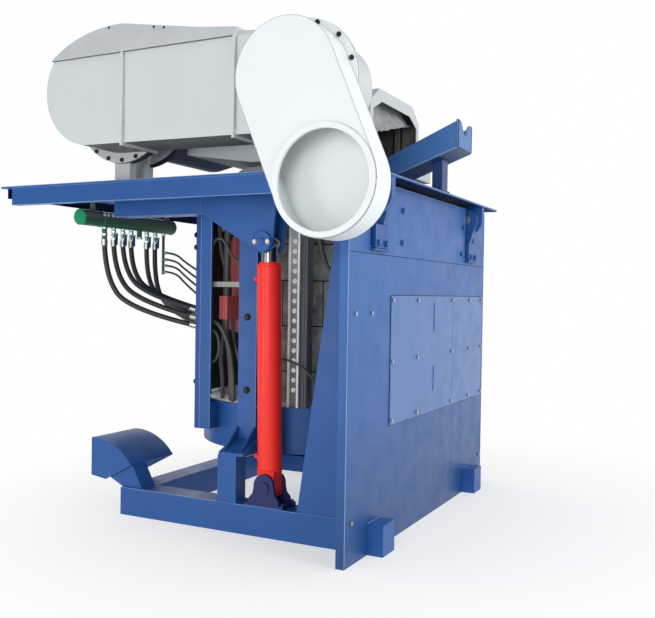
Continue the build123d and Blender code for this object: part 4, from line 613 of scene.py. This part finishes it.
def add_hoses():
    """All hoses and leads, with crimped ferrules on the hoses."""
    ferrules = Kit("hose_ferrules", LOOKS["valve_steel"], "valve_steel")
    for name, (length, points) in HOSES.items():
        hose(name + "_rubber", name, points, HOSE_R, LOOKS["hose_rubber"])
        add_ferrules(ferrules, points, HOSE_R)
    for number, points in enumerate(THIN_HOSES, start=1):
        name = f"thin_hose_{number}_rubber"
        hose(name, "thin_hoses", points, THIN_HOSE_R, LOOKS["hose_rubber"])
        add_ferrules(ferrules, points, THIN_HOSE_R)
    for number, (radius, length, points) in enumerate(INNER_LEADS, start=1):
        hose(f"inner_lead_{number}_rubber", "thin_hoses", points, radius, LEAD)
    ferrules.done()


# Pieces on the furnace body

def add_column_details():
    """Edge strips and studs of the slotted column, and ribs of the plain one."""
    low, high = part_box("coil_columns")
    # Strips and studs in near-white zinc, partly painted highlight on the shaded column.
    strips = Kit("column_strips", BRIGHT, "steel")
    for left in STRIP_XS:
        strips.box((left, COLUMN_FACE - 0.012, low.z), (left + STRIP_W, COLUMN_FACE + 0.001, high.z))
    strips.done(0.0008)
    ribs = Kit("plain_column_ribs", SLATE, "steel")
    ribs.box((-0.5052, COLUMN_FACE - 0.0015, low.z), (-0.4648, COLUMN_FACE + 0.0005, high.z))
    for left in RIB_XS:
        ribs.box((left, COLUMN_FACE - 0.007, low.z), (left + RIB_W, COLUMN_FACE, high.z))
    ribs.done(0.0008)
    studs = Kit("column_studs", BRIGHT, "steel")
    for index in range(STUD_COUNT):
        z = (low.z + high.z) / 2 + STUD_PITCH * (index - (STUD_COUNT - 1) / 2)
        collar = (STUD_X, COLUMN_FACE - 0.003, z)
        studs.rod((STUD_X, COLUMN_FACE + 0.0005, z), collar, 0.0135)
        studs.rod(collar, (STUD_X, COLUMN_FACE - 0.011, z), 0.009, 16, 0.006)
    studs.done()


def add_post_bolts():
    """Black bolts on the outer faces of a post and of the header posts."""
    bolts = Kit("post_bolts", BLACK)
    for z in (0.766, 1.177, 1.600):
        bolts.bolt((-0.815, 0.0002 - POST_FACE, z), (0, -1, 0), 0.026, 0.012)
    header_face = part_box("header_posts")[0].x + 0.0002
    for y, z in ((-0.430, 0.760), (-0.440, 1.589), (-0.440, 1.665)):
        bolts.bolt((header_face, y, z), (-1, 0, 0), 0.028, 0.016)
    bolts.done()


def add_jacket_joints():
    """Dark joints between the courses of brick round the coil."""
    joints = Kit("jacket_joints", MORTAR, "coil_cement")
    for z in COURSES:
        joints.ring((FURNACE_X, 0, z), (0, 0, 1), JOINT_R, 0.004, 72)
    for row, (low, high) in enumerate(zip((0.675, *COURSES), (*COURSES, 1.699))):
        for step in range(BRICKS):
            angle = math.radians(360 / BRICKS * (step + row % 2 / 2) + 4)
            x = FURNACE_X + JOINT_R * math.cos(angle)
            y = JOINT_R * math.sin(angle)
            joints.rod((x, y, low), (x, y, high), 0.003, 6)
    joints.done()


def add_shade_board():
    """Dark board with four ribs between the header posts: painted shade on a sheet behind the coil's leads.
    """
    left = -1.336
    right = -1.328
    half = 0.3745
    board = Kit("shade_board", SHADE_BOARD, "coil_cement")
    board.box((left, -half, 0.700), (right, half, 1.905))
    for z in (0.80, 1.10, 1.40, 1.70):
        board.box((right, -half, z), (right + 0.010, half, z + 0.030))
    board.done(0.001)


def add_ledge():
    """Fillet of white castable on the ledge round the coil."""
    fillet = Kit("ledge_fillet", LEDGE, "refractory")
    dice = random.Random(5)
    sides = 180
    rows = []
    for step in range(sides):
        angle = 2 * math.pi * step / sides
        wobble = dice.uniform(-0.0015, 0.0015)
        section = ((0.6695, 0.6725), (0.6600, 0.6810 + wobble), (0.5900, 0.6980 + wobble), (0.5800, 0.6725))
        row = [(FURNACE_X + radius * math.cos(angle), radius * math.sin(angle), z) for radius, z in section]
        rows.append([fillet.mesh.verts.new(point) for point in row])
    for row, following in zip(rows, rows[1:] + rows[:1]):
        for index in range(4):
            other = (index + 1) % 4
            fillet.mesh.faces.new((row[index], following[index], following[other], row[other]))
    fillet.done()


def add_shade_skids():
    """Two skids under the drum, painted near-black as the shade beneath it."""
    skids = Kit("drum_shade_skids", SHADE)
    drum_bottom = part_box("furnace_drum")[0].z
    half_length = 0.390
    for y in (-0.300, 0.300):
        skids.box((FURNACE_X - half_length, y - 0.040, drum_bottom - 0.075),
                  (FURNACE_X + half_length, y + 0.040, drum_bottom - 0.0002))
    skids.done(0.003)


def add_clevises():
    """Clevis feet of the rams, with round heads and flared toes."""
    foot_top = BEAMS_HIGH.z + 0.020
    half_foot = 0.120
    head_z = 0.277
    head_r = 0.062
    profile = [(-0.700, 0.178), (-0.510, 0.178), (-0.512, 0.205), (-0.536, 0.232)]
    for step in range(13):
        angle = math.radians(-8 + 196 * step / 12)
        profile.append((FOOT_PIN_X + head_r * math.cos(angle), head_z + head_r * math.sin(angle)))
    profile += [(-0.674, 0.232), (-0.698, 0.205)]
    kit = Kit("clevis_feet", NAVY, body="stand")
    for side in (-1, 1):
        middle = side * BLOCK_Y
        kit.box((FOOT_PIN_X - half_foot, middle - 0.075, BEAMS_HIGH.z + 0.0002),
                (FOOT_PIN_X + half_foot, middle + 0.075, foot_top))
        for cheek in (side * RAM_Y - 0.060, side * RAM_Y + 0.060):
            kit.plate(profile, 1, cheek - 0.010, cheek + 0.010)
    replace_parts(kit.done(0.0015), "clevis_bases")
    bolts = Kit("clevis_bolts", NAVY, body="stand")
    for side in (-1, 1):
        for x in (FOOT_PIN_X - 0.107, FOOT_PIN_X + 0.107):
            for y in (side * BLOCK_Y - 0.052, side * BLOCK_Y + 0.052):
                bolts.bolt((x, y, foot_top), (0, 0, 1), 0.018, 0.010)
    bolts.done()


def add_ram_details():
    """Ports and weld rings of the rams, and steel bolt covers and bosses on their top pins' caps."""
    for place, side in (("front", -1), ("rear", 1)):
        y = side * RAM_Y
        kit = Kit(f"ram_ports_{place}", LOOKS["ram_red"], "ram_red", f"barrel_{place}")
        for x, z in ((-0.6250, 1.389), (-0.6080, 0.420)):
            kit.rod((x - 0.055, y, z), (x - 0.082, y, z), 0.015, 16)
            kit.rod((x - 0.082, y, z), (x - 0.092, y, z), 0.011, 6)
        kit.ring((-0.6066, y, 0.358), (0, 0, 1), BARREL_R, 0.0045)
        kit.ring((-0.6268, y, 1.455), (0, 0, 1), BARREL_R, 0.0035)
        kit.done()
        cap_face = side * 0.8668
        covers = Kit(f"cap_bolts_{place}", LOOKS["steel"], "steel")
        for x in (TOP_PIN_X - 0.040, TOP_PIN_X + 0.040):
            washer_face = cap_face + side * 0.002
            covers.rod((x, cap_face, TOP_PIN_Z), (x, washer_face, TOP_PIN_Z), 0.0150, 24)
            covers.rod((x, washer_face, TOP_PIN_Z), (x, washer_face + side * 0.0085, TOP_PIN_Z), 0.0135, 6)
        covers.done(0.0006)
        boss = Kit(f"cap_boss_{place}", LOOKS["frame_blue"])
        boss.rod((TOP_PIN_X, cap_face - side * 0.001, TOP_PIN_Z),
                 (TOP_PIN_X, cap_face + side * 0.006, TOP_PIN_Z), 0.023, 32, 0.016)
        boss.ring((TOP_PIN_X, cap_face, TOP_PIN_Z), (0, 1, 0), 0.0545, 0.0025)
        boss.done()


def add_panel_details():
    """More bolts on the outer panel, and the plates under the bearing blocks."""
    face = PANEL_HIGH.x
    bolts = Kit("panel_extra_bolts", LOOKS["frame_blue"], body="stand")
    for y, z in ((-0.442, 1.772), (-0.449, 1.597), (0.600, 1.589), (0.632, 1.761)):
        bolts.bolt((face, y, z), (1, 0, 0), 0.024)
    for y in (-0.83, -0.73, 0.73, 0.83):
        bolts.bolt((face + 0.022, y, 1.575), (1, 0, 0), 0.028, 0.012)
    bolts.done()
    shims = Kit("block_plates", LOOKS["frame_blue"], body="stand")
    for side in (-1, 1):
        middle = side * BLOCK_Y
        shims.box((face, middle - 0.095, 1.536), (face + 0.026, middle + 0.095, 1.5465))
    shims.done(0.001)


def add_joint_lines():
    """Dark lines on the outer panel: joints between its sheets and round the covers, and painted shadow in
    the gaps beside the lugs and above and below the bearing blocks.
    """
    sunk = PANEL_HIGH.x - 0.0002
    covers_low, covers_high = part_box("side_cover")
    lines = Kit("panel_joints_and_gap_shade", SHADE, body="stand")
    lines.box((sunk - 0.0002, PANEL_LOW.y + 0.005, PANEL_LOW.z - 0.0015),
              (sunk + 0.0006, PANEL_HIGH.y - 0.005, PANEL_LOW.z + 0.0015))
    for low in (covers_low.z - 0.003, covers_high.z):
        lines.box((sunk, -0.595, low), (sunk + 0.0020, covers_high.y, low + 0.003))
    for y in (-0.5975, 1.0795):
        lines.box((sunk, y, covers_low.z), (sunk + 0.0020, y + 0.003, covers_high.z))
    # Painted shadow in the gaps of the notches beside the lugs.
    for y in (-0.8715, -0.7015, 0.6900, 0.8585):
        lines.box((sunk, y, 1.5600), (sunk + 0.0014, y + 0.0120, 1.8880))
    # Painted shadow along the tops and bottoms of the bearing blocks.
    for side in (-1, 1):
        for z in (1.5485, 1.6705):
            lines.box((sunk, side * BLOCK_Y - 0.076, z - 0.0015),
                      (sunk + 0.0224, side * BLOCK_Y + 0.076, z + 0.0005))
    lines.done()


def add_deck_details():
    """Angles at the two ends of the deck, painted dark as shade, and thin dark sheets of painted shade under
    the deck on the pouring side.
    """
    under = DECK_LOW.z - 0.0002
    right = DECK_HIGH.x - 0.002
    lug_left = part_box("trunnion_lugs")[0].x
    angle_right = CHANNELS_HIGH.x - 0.004
    ends = Kit("deck_end_angles_and_underside_shade", SHADE)
    ends.box((DECK_LOW.x + 0.001, -1.064, 1.856), (DECK_LOW.x + 0.009, 1.064, under))
    ends.box((angle_right - 0.008, -POST_FACE, 1.815), (angle_right, POST_FACE, under))
    # Painted shade: thin dark sheets on the deck's underside over the panel.
    ends.box((angle_right, -POST_FACE, under - 0.002), (right, POST_FACE, under))
    for side in (-1, 1):
        low, high = sorted((side * 0.825, side * (DECK_HIGH.y - 0.005)))
        ends.box((lug_left, low, under - 0.002), (right, high, under))
    ends.done()


def add_frame_beads():
    """Welds along the deck's channels, and where its brackets meet the deck and the posts."""
    low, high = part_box("tilt_brackets")
    arm_bottom = 1.750
    arm_right = -1.004
    joint = DECK_LOW.z - 0.0015
    beads = Kit("frame_beads", BEAD)
    for side in (-1, 1):
        rim = side * (CHANNELS_HIGH.y + 0.0005)
        face = side * (high.y + 0.0005)
        beads.weld((CHANNELS_LOW.x + 0.002, rim, DECK_LOW.z - 0.0005),
                   (CHANNELS_HIGH.x - 0.002, rim, DECK_LOW.z - 0.0005))
        beads.weld((low.x + 0.002, face, joint), (arm_right, face, joint), 0.004)
        beads.weld((-1.030, face, arm_bottom + 0.0002), (-1.030, face, DECK_LOW.z - 0.004))
        beads.weld((low.x + 0.004, face, arm_bottom), (arm_right, face, arm_bottom), 0.003)
        beads.weld((-0.930, face, joint), (high.x - 0.005, face, joint))
    beads.done()


def add_stand_beads():
    """Welds where beams, columns, clevises and rest posts meet."""
    columns_low, columns_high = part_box("stand_columns")
    clevis_low, clevis_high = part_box("clevis_bases")
    posts_low, posts_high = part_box("rest_posts")
    seam = BEAMS_HIGH.z + 0.0015
    beads = Kit("stand_beads", BEAD, body="stand")
    for side in (-1, 1):
        face = side * BEAMS_HIGH.y
        outer = face + side * 0.0002
        beads.weld((columns_low.x + 0.002, outer, seam), (columns_high.x - 0.002, outer, seam), 0.004)
        block_low, block_high = side * BLOCK_Y - 0.075, side * BLOCK_Y + 0.075
        beads.weld((0.0085, block_low, seam - 0.001), (0.0085, block_high, seam - 0.001))
        clevis = face - side * 0.0005
        beads.weld((clevis_low.x + 0.001, clevis, seam + 0.001),
                   (clevis_high.x - 0.001, clevis, seam + 0.001), 0.004)
        for x in (posts_low.x, posts_high.x):
            beads.weld((x, face - side * 0.100, seam), (x, face, seam), 0.004)
        outer = face + side * 0.0005
        beads.weld((posts_low.x, outer, seam), (posts_high.x, outer, seam), 0.004)
        beads.weld((-1.430, side * 0.706, 0.002), (-1.430, side * 0.706, BEAMS_HIGH.z - 0.002))
    beads.done()


def add_painted_edge_highlights():
    """Thin light lines along the outer edges of posts, deck, panel and beams: painted highlights where the
    edges catch the light.
    """
    edges = Kit("frame_edge_highlights", BEAD_HIGHLIGHT)
    right = DECK_HIGH.x - 0.0005
    top = DECK_HIGH.z - 0.0005
    lip_z = CHANNELS_LOW.z + 0.0005
    for side in (-1, 1):
        face = side * POST_FACE
        for x, low, high in ((-1.0645, 0.526, 1.745), (-1.1365, 0.526, 1.745), (-0.7555, 0.566, 1.640)):
            edges.tube(((x, face, low), (x, face, high)), 0.0018)
        lip = side * (CHANNELS_HIGH.y - 0.0005)
        edges.tube(((CHANNELS_LOW.x, lip, lip_z), (CHANNELS_HIGH.x, lip, lip_z)), 0.0018)
        rim = side * (DECK_HIGH.y - 0.0002)
        edges.tube(((DECK_LOW.x, rim, top), (right, rim, top)), 0.0020)
    edges.tube(((right, 0.0002 - DECK_HIGH.y, top), (right, DECK_HIGH.y - 0.0002, top)), 0.0020)
    edges.done()
    panel = Kit("panel_edge_highlights", BEAD_HIGHLIGHT, body="stand")
    face = PANEL_HIGH.x - 0.0002
    beam_z = BEAMS_HIGH.z - 0.0002
    for side in (-1, 1):
        rim = side * (PANEL_HIGH.y - 0.0002)
        panel.tube(((face, rim, 0.004), (face, rim, PANEL_HIGH.z - 0.002)), 0.0018)
        beam = side * (BEAMS_HIGH.y - 0.0002)
        panel.tube(((-1.578, beam, beam_z), (-0.400, beam, beam_z)), 0.0018)
        block = side * BLOCK_Y - 0.0748
        panel.tube(((face + 0.0222, block, 1.550), (face + 0.0222, block, 1.670)), 0.0014)
    panel.tube(((face, -POST_FACE, PANEL_HIGH.z - 0.0002), (face, POST_FACE, PANEL_HIGH.z - 0.0002)), 0.0016)
    panel.done()


# Pieces that stand for CAD nodes, and what is mounted on them

def add_spout():
    """The spout: two side plates, a floor, a notched end plate and its post."""
    floor_right = 0.205
    floor_right_z = 2.1574
    inner = SPOUT_HALF - SPOUT_T
    trough = Kit("spout_trough", SPOUT_BLUE)
    side = ((SPOUT_LEFT, SPOUT_LEFT_Z), (SPOUT_RIGHT, SPOUT_RIGHT_Z), (SPOUT_RIGHT, SPOUT_TOP - 0.004),
            (SPOUT_LEFT, 2.035))
    for low, high in ((-SPOUT_HALF, -inner), (inner, SPOUT_HALF)):
        trough.plate(side, 1, low, high)
    floor = ((SPOUT_LEFT, SPOUT_LEFT_Z), (floor_right, floor_right_z), (floor_right, 2.171),
             (SPOUT_LEFT, SPOUT_LEFT_Z + SPOUT_T))
    trough.plate(floor, 1, -0.118, 0.118)
    half_notch = ((SPOUT_HALF, SPOUT_RIGHT_Z), (SPOUT_HALF, SPOUT_TOP), (0.094, SPOUT_TOP), (0.074, 2.308),
                  (0.010, 2.240))
    notch = [*half_notch, *((-y, z) for y, z in reversed(half_notch))]
    trough.plate(notch, 0, 0.199, SPOUT_RIGHT)
    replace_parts(trough.done(0.0015), "spout")
    # The post under the spout is painted darker as shade.
    post = Kit("spout_post", SPOUT_POST_SHADE_BLUE)
    foot = DECK_HIGH.z + 0.0002
    post.box((0.031, -0.050, foot), (0.093, 0.050, 2.106))
    post.box((0.020, -0.060, foot), (0.104, 0.060, DECK_HIGH.z + 0.0090))
    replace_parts(post.done(0.0015), "spout")
    # Spout welds in the light bead blue: painted highlight along the spout's edges.
    beads = Kit("spout_beads", BEAD_HIGHLIGHT)
    rim = SPOUT_HALF + 0.0005
    for y in (-rim, rim):
        beads.weld((-0.200, y, 2.0045), (floor_right, y, 2.1578))
    beads.weld((0.2055, -rim, 2.166), (0.2055, -rim, 2.308), 0.0025)
    beads.weld((0.031, -0.051, 1.9215), (0.093, -0.051, 1.9215), 0.004)
    beads.done()


def add_spout_lining():
    """The rammed lining of the spout, with its V-shaped pouring groove."""
    inner = SPOUT_HALF - SPOUT_T
    lining = Kit("spout_ramming", GROOVED, "refractory")
    rows = []
    for x in (-0.419, 0.1985):
        along = x - SPOUT_LEFT
        floor = 1.9345 + along * SPOUT_SLOPE
        top = floor + 0.085 + along / (SPOUT_RIGHT - SPOUT_LEFT) * 0.042
        bottom = top - 0.066
        half = ((inner, floor), (inner, top), (0.078, top), (0.012, bottom))
        rows.append([(x, y, z) for y, z in half] + [(x, -y, z) for y, z in reversed(half)])
    lining.skin(rows)
    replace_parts(lining.done(0.004), "spout_lining")


def add_valves():
    """Ball valves: two hexagon ends, a round body between them, the stem and its nut."""
    valves = Kit("valve_fittings", TEAL, "valve_steel")
    sections = (
        (0.024, 0.011, 6, 0.0175, 0.0175),
        (0.011, 0.004, 20, 0.0120, 0.0120),
        (0.004, 0.000, 20, 0.0120, 0.0160),
        (0.000, -0.007, 20, 0.0160, 0.0160),
        (-0.007, -0.012, 20, 0.0160, 0.0120),
        (-0.012, -0.021, 20, 0.0120, 0.0120),
        (-0.021, -0.034, 6, 0.0185, 0.0185),
    )
    for y in VALVE_YS:
        middle = Vector((MANIFOLD_X, y, VALVE_Z))
        for upper, lower, sides, first, last in sections:
            valves.rod(middle + Vector((0, 0, upper)), middle + Vector((0, 0, lower)), first, sides, last)
        valves.rod((MANIFOLD_X + 0.0100, y, VALVE_Z), (MANIFOLD_X + 0.0335, y, VALVE_Z), 0.0050, 16)
        valves.rod((MANIFOLD_X + 0.0293, y, VALVE_Z), (MANIFOLD_X + 0.0333, y, VALVE_Z), 0.0088, 6)
    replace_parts(valves.done(0.0006), "valve_bodies")


def add_manifold_details():
    """End cap and weld rings in a lighter green that is painted light, small plugs whose near-white is
    partly a painted glint, and nipple collars of the manifold.
    """
    cap = Kit("manifold_caps", LIT_GREEN_CAP, "manifold_green")
    cap.rod((MANIFOLD_X, -0.8697, MANIFOLD_Z), (MANIFOLD_X, -0.8745, MANIFOLD_Z), 0.0440, 40)
    cap.ring((MANIFOLD_X, -0.8690, MANIFOLD_Z), (0, 1, 0), 0.0465, 0.0030)
    for y in (-0.700, 0.015):
        cap.ring((MANIFOLD_X, y, MANIFOLD_Z), (0, 1, 0), 0.0477, 0.0028)
    cap.done(0.001)
    # Plugs in near-white zinc, partly painted glints along the manifold.
    plugs = Kit("manifold_plugs", BRIGHT, "valve_steel")
    for y in (-0.688, -0.655, -0.615, -0.570):
        plugs.rod((MANIFOLD_X + 0.038, y - 0.012, 1.778), (MANIFOLD_X + 0.048, y - 0.015, 1.783), 0.010, 6)
    plugs.done(0.0008)
    collars = Kit("nipple_collars", TEAL, "valve_steel")
    nuts = [(y, 1.7120, 1.7010, 0.0165, 6) for y in VALVE_YS]
    nuts += [(y, 1.6990, 1.6925, 0.0140, 20) for y in VALVE_YS]
    nuts += [(-0.655, 1.7120, 1.6990, 0.0200, 6), (-0.655, 1.6700, 1.6560, 0.0200, 6),
             (-0.320, 1.6545, 1.6680, 0.0210, 6), (SIDE_PIPE_Y, 1.7120, 1.6960, 0.0150, 6)]
    for y, start, end, radius, sides in nuts:
        collars.rod((MANIFOLD_X, y, start), (MANIFOLD_X, y, end), radius, sides)
    for points in THIN_HOSES:
        z = points[0][2]
        collars.rod((MANIFOLD_X + 0.012, SIDE_PIPE_Y, z), (MANIFOLD_X + 0.022, SIDE_PIPE_Y, z), 0.0110, 6)
    collars.done(0.0006)


def add_soot_and_shade():
    """Dark lining inside the hood's tunnel, soot together with painted shade, and a paler band near its
    mouth.
    """
    soot = Kit("hood_soot_and_shade_lining", SOOT_AND_SHADE, "duct_grey", "hood")
    for side in (-1, 1):
        wall = side * HOOD_HALF
        soot.box((HOOD_LEFT, wall - 0.0015, HOOD_BOTTOM), (HOOD_MOUTH, wall + 0.0005, 2.402))
        low, high = side * (HOOD_HALF - 0.001), side * HOOD_TOP_HALF
        shoulder = ((low, 2.403), (high, 2.4915), (high, 2.4880), (low, 2.3990))
        soot.plate(shoulder, 0, HOOD_LEFT, HOOD_MOUTH)
    soot.box((HOOD_LEFT, -HOOD_TOP_HALF, 2.4900), (HOOD_MOUTH, HOOD_TOP_HALF, 2.4930))
    soot.box((HOOD_LEFT - 0.003, -0.3700, HOOD_BOTTOM), (HOOD_LEFT, 0.3700, 2.400))
    soot.done()
    band = Kit("hood_soot_and_shade_band", SOOT_AND_SHADE_PALE, "duct_grey", "hood")
    band.box((-0.382, 0.3700, HOOD_BOTTOM), (-0.347, 0.3765, 2.398))
    band.box((-0.330, 0.3720, HOOD_BOTTOM), (HOOD_MOUTH - 0.001, 0.3765, 2.398))
    band.done(0.002)


def add_blanket():
    """The torn and sagging fibre blanket behind the hood's mouth."""
    blanket = Kit("fibre_blanket", FIBRE, "duct_grey", "hood")
    dice = random.Random(11)
    columns = 60
    rows = 8
    thickness = 0.014
    front, rear = [], []
    for step in range(columns + 1):
        y = -0.335 + 0.700 * step / columns
        tear = 2.235 + 0.165 * step / columns + dice.uniform(-0.005, 0.005)
        top = 2.486 - max(0.0, abs(y) - 0.250) * 0.72
        points = []
        for row in range(rows + 1):
            share = row / rows
            sag = 0.012 * math.sin(step * 0.55 + row * 0.7) * (1 - share)
            points.append((-0.262 - 0.045 * share + sag, y, tear + (top - tear) * share))
        front.append([blanket.mesh.verts.new(point) for point in points])
        rear.append([blanket.mesh.verts.new((x - thickness, y, z)) for x, y, z in points])
    for sheet in (front, rear):
        for column, following in zip(sheet, sheet[1:]):
            for row in range(rows):
                blanket.mesh.faces.new((column[row], following[row], following[row + 1], column[row + 1]))
    for step in range(columns):
        for row in (0, rows):
            blanket.mesh.faces.new((front[step][row], rear[step][row], rear[step + 1][row],
                                    front[step + 1][row]))
    for step in (0, columns):
        for row in range(rows):
            blanket.mesh.faces.new((front[step][row], front[step][row + 1], rear[step][row + 1],
                                    rear[step][row]))
    blanket.done()


def track(near, far, radius, y):
    """Points of a closed racetrack round two centres, in the plane of one Y value."""
    count = 24
    near, far = Vector(near), Vector(far)
    heading = math.atan2(far.y - near.y, far.x - near.x)
    points = []
    for centre, start in ((far, heading - math.pi / 2), (near, heading + math.pi / 2)):
        for step in range(count + 1):
            angle = start + math.pi * step / count
            points.append((centre.x + radius * math.cos(angle), y, centre.y + radius * math.sin(angle)))
    points.append(points[0])
    return points


def add_duct_seams():
    """Seams of the outlet arm, and black rings of painted shadow in the gaps at the swivel and between the
    hollow joint's plates.
    """
    seams = Kit("outlet_arm_seams", BEAD_PALE, "duct_grey", "outlet_arm")
    for y in (-1.3895, -1.2305):
        seams.tube(track((SWIVEL_X, SWIVEL_Z), (0, TILT_Z), 0.2600, y), 0.0014)
    seams.ring((0, -1.3905, TILT_Z), (0, 1, 0), 0.2565, 0.0020, 96)
    seams.done()
    # Painted shadow: a black ring in the gap at the swivel.
    swivel_shade_ring = Kit("swivel_gap_shade", BLACK, "duct_grey", "outlet_arm")
    swivel_shade_ring.ring((SWIVEL_X, -1.2185, SWIVEL_Z), (0, 1, 0), 0.2945, 0.0016, 96)
    swivel_shade_ring.done()
    # Painted shadow: black rings in the gaps between the hollow joint's plates.
    plate_gap_shade = Kit("plate_gap_shade", BLACK, "duct_grey")
    for y, radius, thickness in ((-0.9100, 0.3368, 0.0016), (-0.7000, 0.3366, 0.0016),
                                 (-0.8850, 0.3310, 0.0095), (-0.7245, 0.3310, 0.0095)):
        plate_gap_shade.ring((PIVOT_X, y, PIVOT_Z), (0, 1, 0), radius, thickness, 96)
    plate_gap_shade.done()


def on_fold(z):
    """Y of the long duct's folded front at a height."""
    return DUCT_FRONT + (z - FOLD_Z) * FOLD_SHARE


def add_fairing():
    """Raised top of the long duct, with bolts along its fold, and welds beside the duct's two ribs."""
    cap = Kit("duct_fairing", DUCT_WHITE, "duct_grey")
    crest = ((-1.7845, 2.5785), (-1.755, 2.619), (-1.715, 2.660), (-1.660, 2.697), (-1.590, 2.729),
             (-1.505, 2.750), (-1.427, 2.759), (-1.358, 2.7595), (-1.083, 2.7075), (-0.812, 2.656),
             (-0.593, 2.628), (-0.593, 2.5785))
    cap.skin(([(x, on_fold(z), z) for x, z in crest], [(x, -0.9350, z) for x, z in crest]))
    cap.done(0.002)
    studs = Kit("fairing_studs", BLACK, "duct_grey")
    for x, z in ((-1.440, 2.742), (-1.120, 2.700), (-1.050, 2.687)):
        y = on_fold(z)
        studs.rod((x, y - 0.001, z), (x, y - 0.006, z + 0.002), 0.006, 6)
    studs.done()
    beads = Kit("duct_beads", BEAD_PALE, "duct_grey")
    for rib in (-1.296, -0.593):
        for x in (rib - 0.002, rib + 0.014):
            beads.weld((x, -1.2105, 2.120), (x, -1.2105, 2.575), 0.0028)
    beads.done()


# Stage, light and camera

def add_stage():
    """A pale floor that fades into a white backdrop."""
    material, tree, shader = new_material("studio_floor")
    shader.inputs["Base Color"].default_value = (0.90, 0.90, 0.90, 1)
    shader.inputs["Roughness"].default_value = 0.8
    coords = tree.nodes.new("ShaderNodeTexCoord")
    reach = tree.nodes.new("ShaderNodeVectorMath")
    reach.operation = "LENGTH"
    tree.links.new(coords.outputs["Object"], reach.inputs[0])
    fade = mapped(tree, reach.outputs["Value"], FADE_START, FADE_END, FLOOR_GLOW, smooth=True)
    glow = tree.nodes.new("ShaderNodeEmission")
    glow.inputs["Color"].default_value = (1, 1, 1, 1)
    blend = tree.nodes.new("ShaderNodeMixShader")
    tree.links.new(fade, blend.inputs["Fac"])
    tree.links.new(shader.outputs["BSDF"], blend.inputs[1])
    tree.links.new(glow.outputs["Emission"], blend.inputs[2])
    tree.links.new(blend.outputs["Shader"], tree.nodes["Material Output"].inputs["Surface"])
    corners = [(x * FLOOR_HALF, y * FLOOR_HALF, 0) for x, y in ((-1, -1), (1, -1), (1, 1), (-1, 1))]
    data = bpy.data.meshes.new("studio_floor")
    data.from_pydata(corners, [], [(0, 1, 2, 3)])
    data.materials.append(material)
    new_object("studio_floor", data)


def add_lamp(name, at, aim, size, power):
    """A square soft light pointed at a place."""
    lamp = bpy.data.lights.new(name, "AREA")
    lamp.shape = "SQUARE"
    lamp.size = size
    lamp.energy = power
    holder = new_object(name, lamp)
    holder.location = at
    holder.rotation_mode = "QUATERNION"
    holder.rotation_quaternion = (Vector(aim) - Vector(at)).to_track_quat("-Z", "Y")


def add_light():
    """A white backdrop that curves overhead, a dimmer room on the near side, and the soft lamps."""
    world = bpy.data.worlds.new("studio")
    world.use_nodes = True
    tree = world.node_tree
    direction = split(tree, "Generated")["Y"]
    shade = mapped(tree, direction, -0.55, 0.10, ROOM_NEAR, ROOM_FAR, smooth=True)
    tree.links.new(shade, tree.nodes["Background"].inputs["Strength"])
    tree.nodes["Background"].inputs["Color"].default_value = (1, 1, 1, 1)
    bpy.context.scene.world = world
    for name, (at, aim, size, power) in LAMPS.items():
        add_lamp(name, at, aim, size, power)
    bpy.context.scene.view_settings.view_transform = "Standard"


def add_camera():
    """The camera at the photograph's place."""
    data = bpy.data.cameras.new("camera")
    data.lens = CAMERA_LENS
    data.sensor_width = CAMERA_SENSOR
    camera = new_object("camera", data)
    turn = (Matrix.Rotation(math.radians(CAMERA_YAW), 4, "Z")
            @ Matrix.Rotation(math.radians(90 + CAMERA_PITCH), 4, "X")
            @ Matrix.Rotation(math.radians(CAMERA_ROLL), 4, "Z"))
    camera.matrix_world = Matrix.Translation(CAMERA_AT) @ turn
    bpy.context.scene.camera = camera


dress_nodes()
add_hoses()
add_column_details()
add_post_bolts()
add_jacket_joints()
add_shade_board()
add_ledge()
add_shade_skids()
add_clevises()
add_ram_details()
add_panel_details()
add_joint_lines()
add_deck_details()
add_frame_beads()
add_stand_beads()
add_painted_edge_highlights()
add_spout()
add_spout_lining()
add_valves()
add_manifold_details()
add_soot_and_shade()
add_blanket()
add_duct_seams()
add_fairing()
add_stage()
add_light()
add_camera()
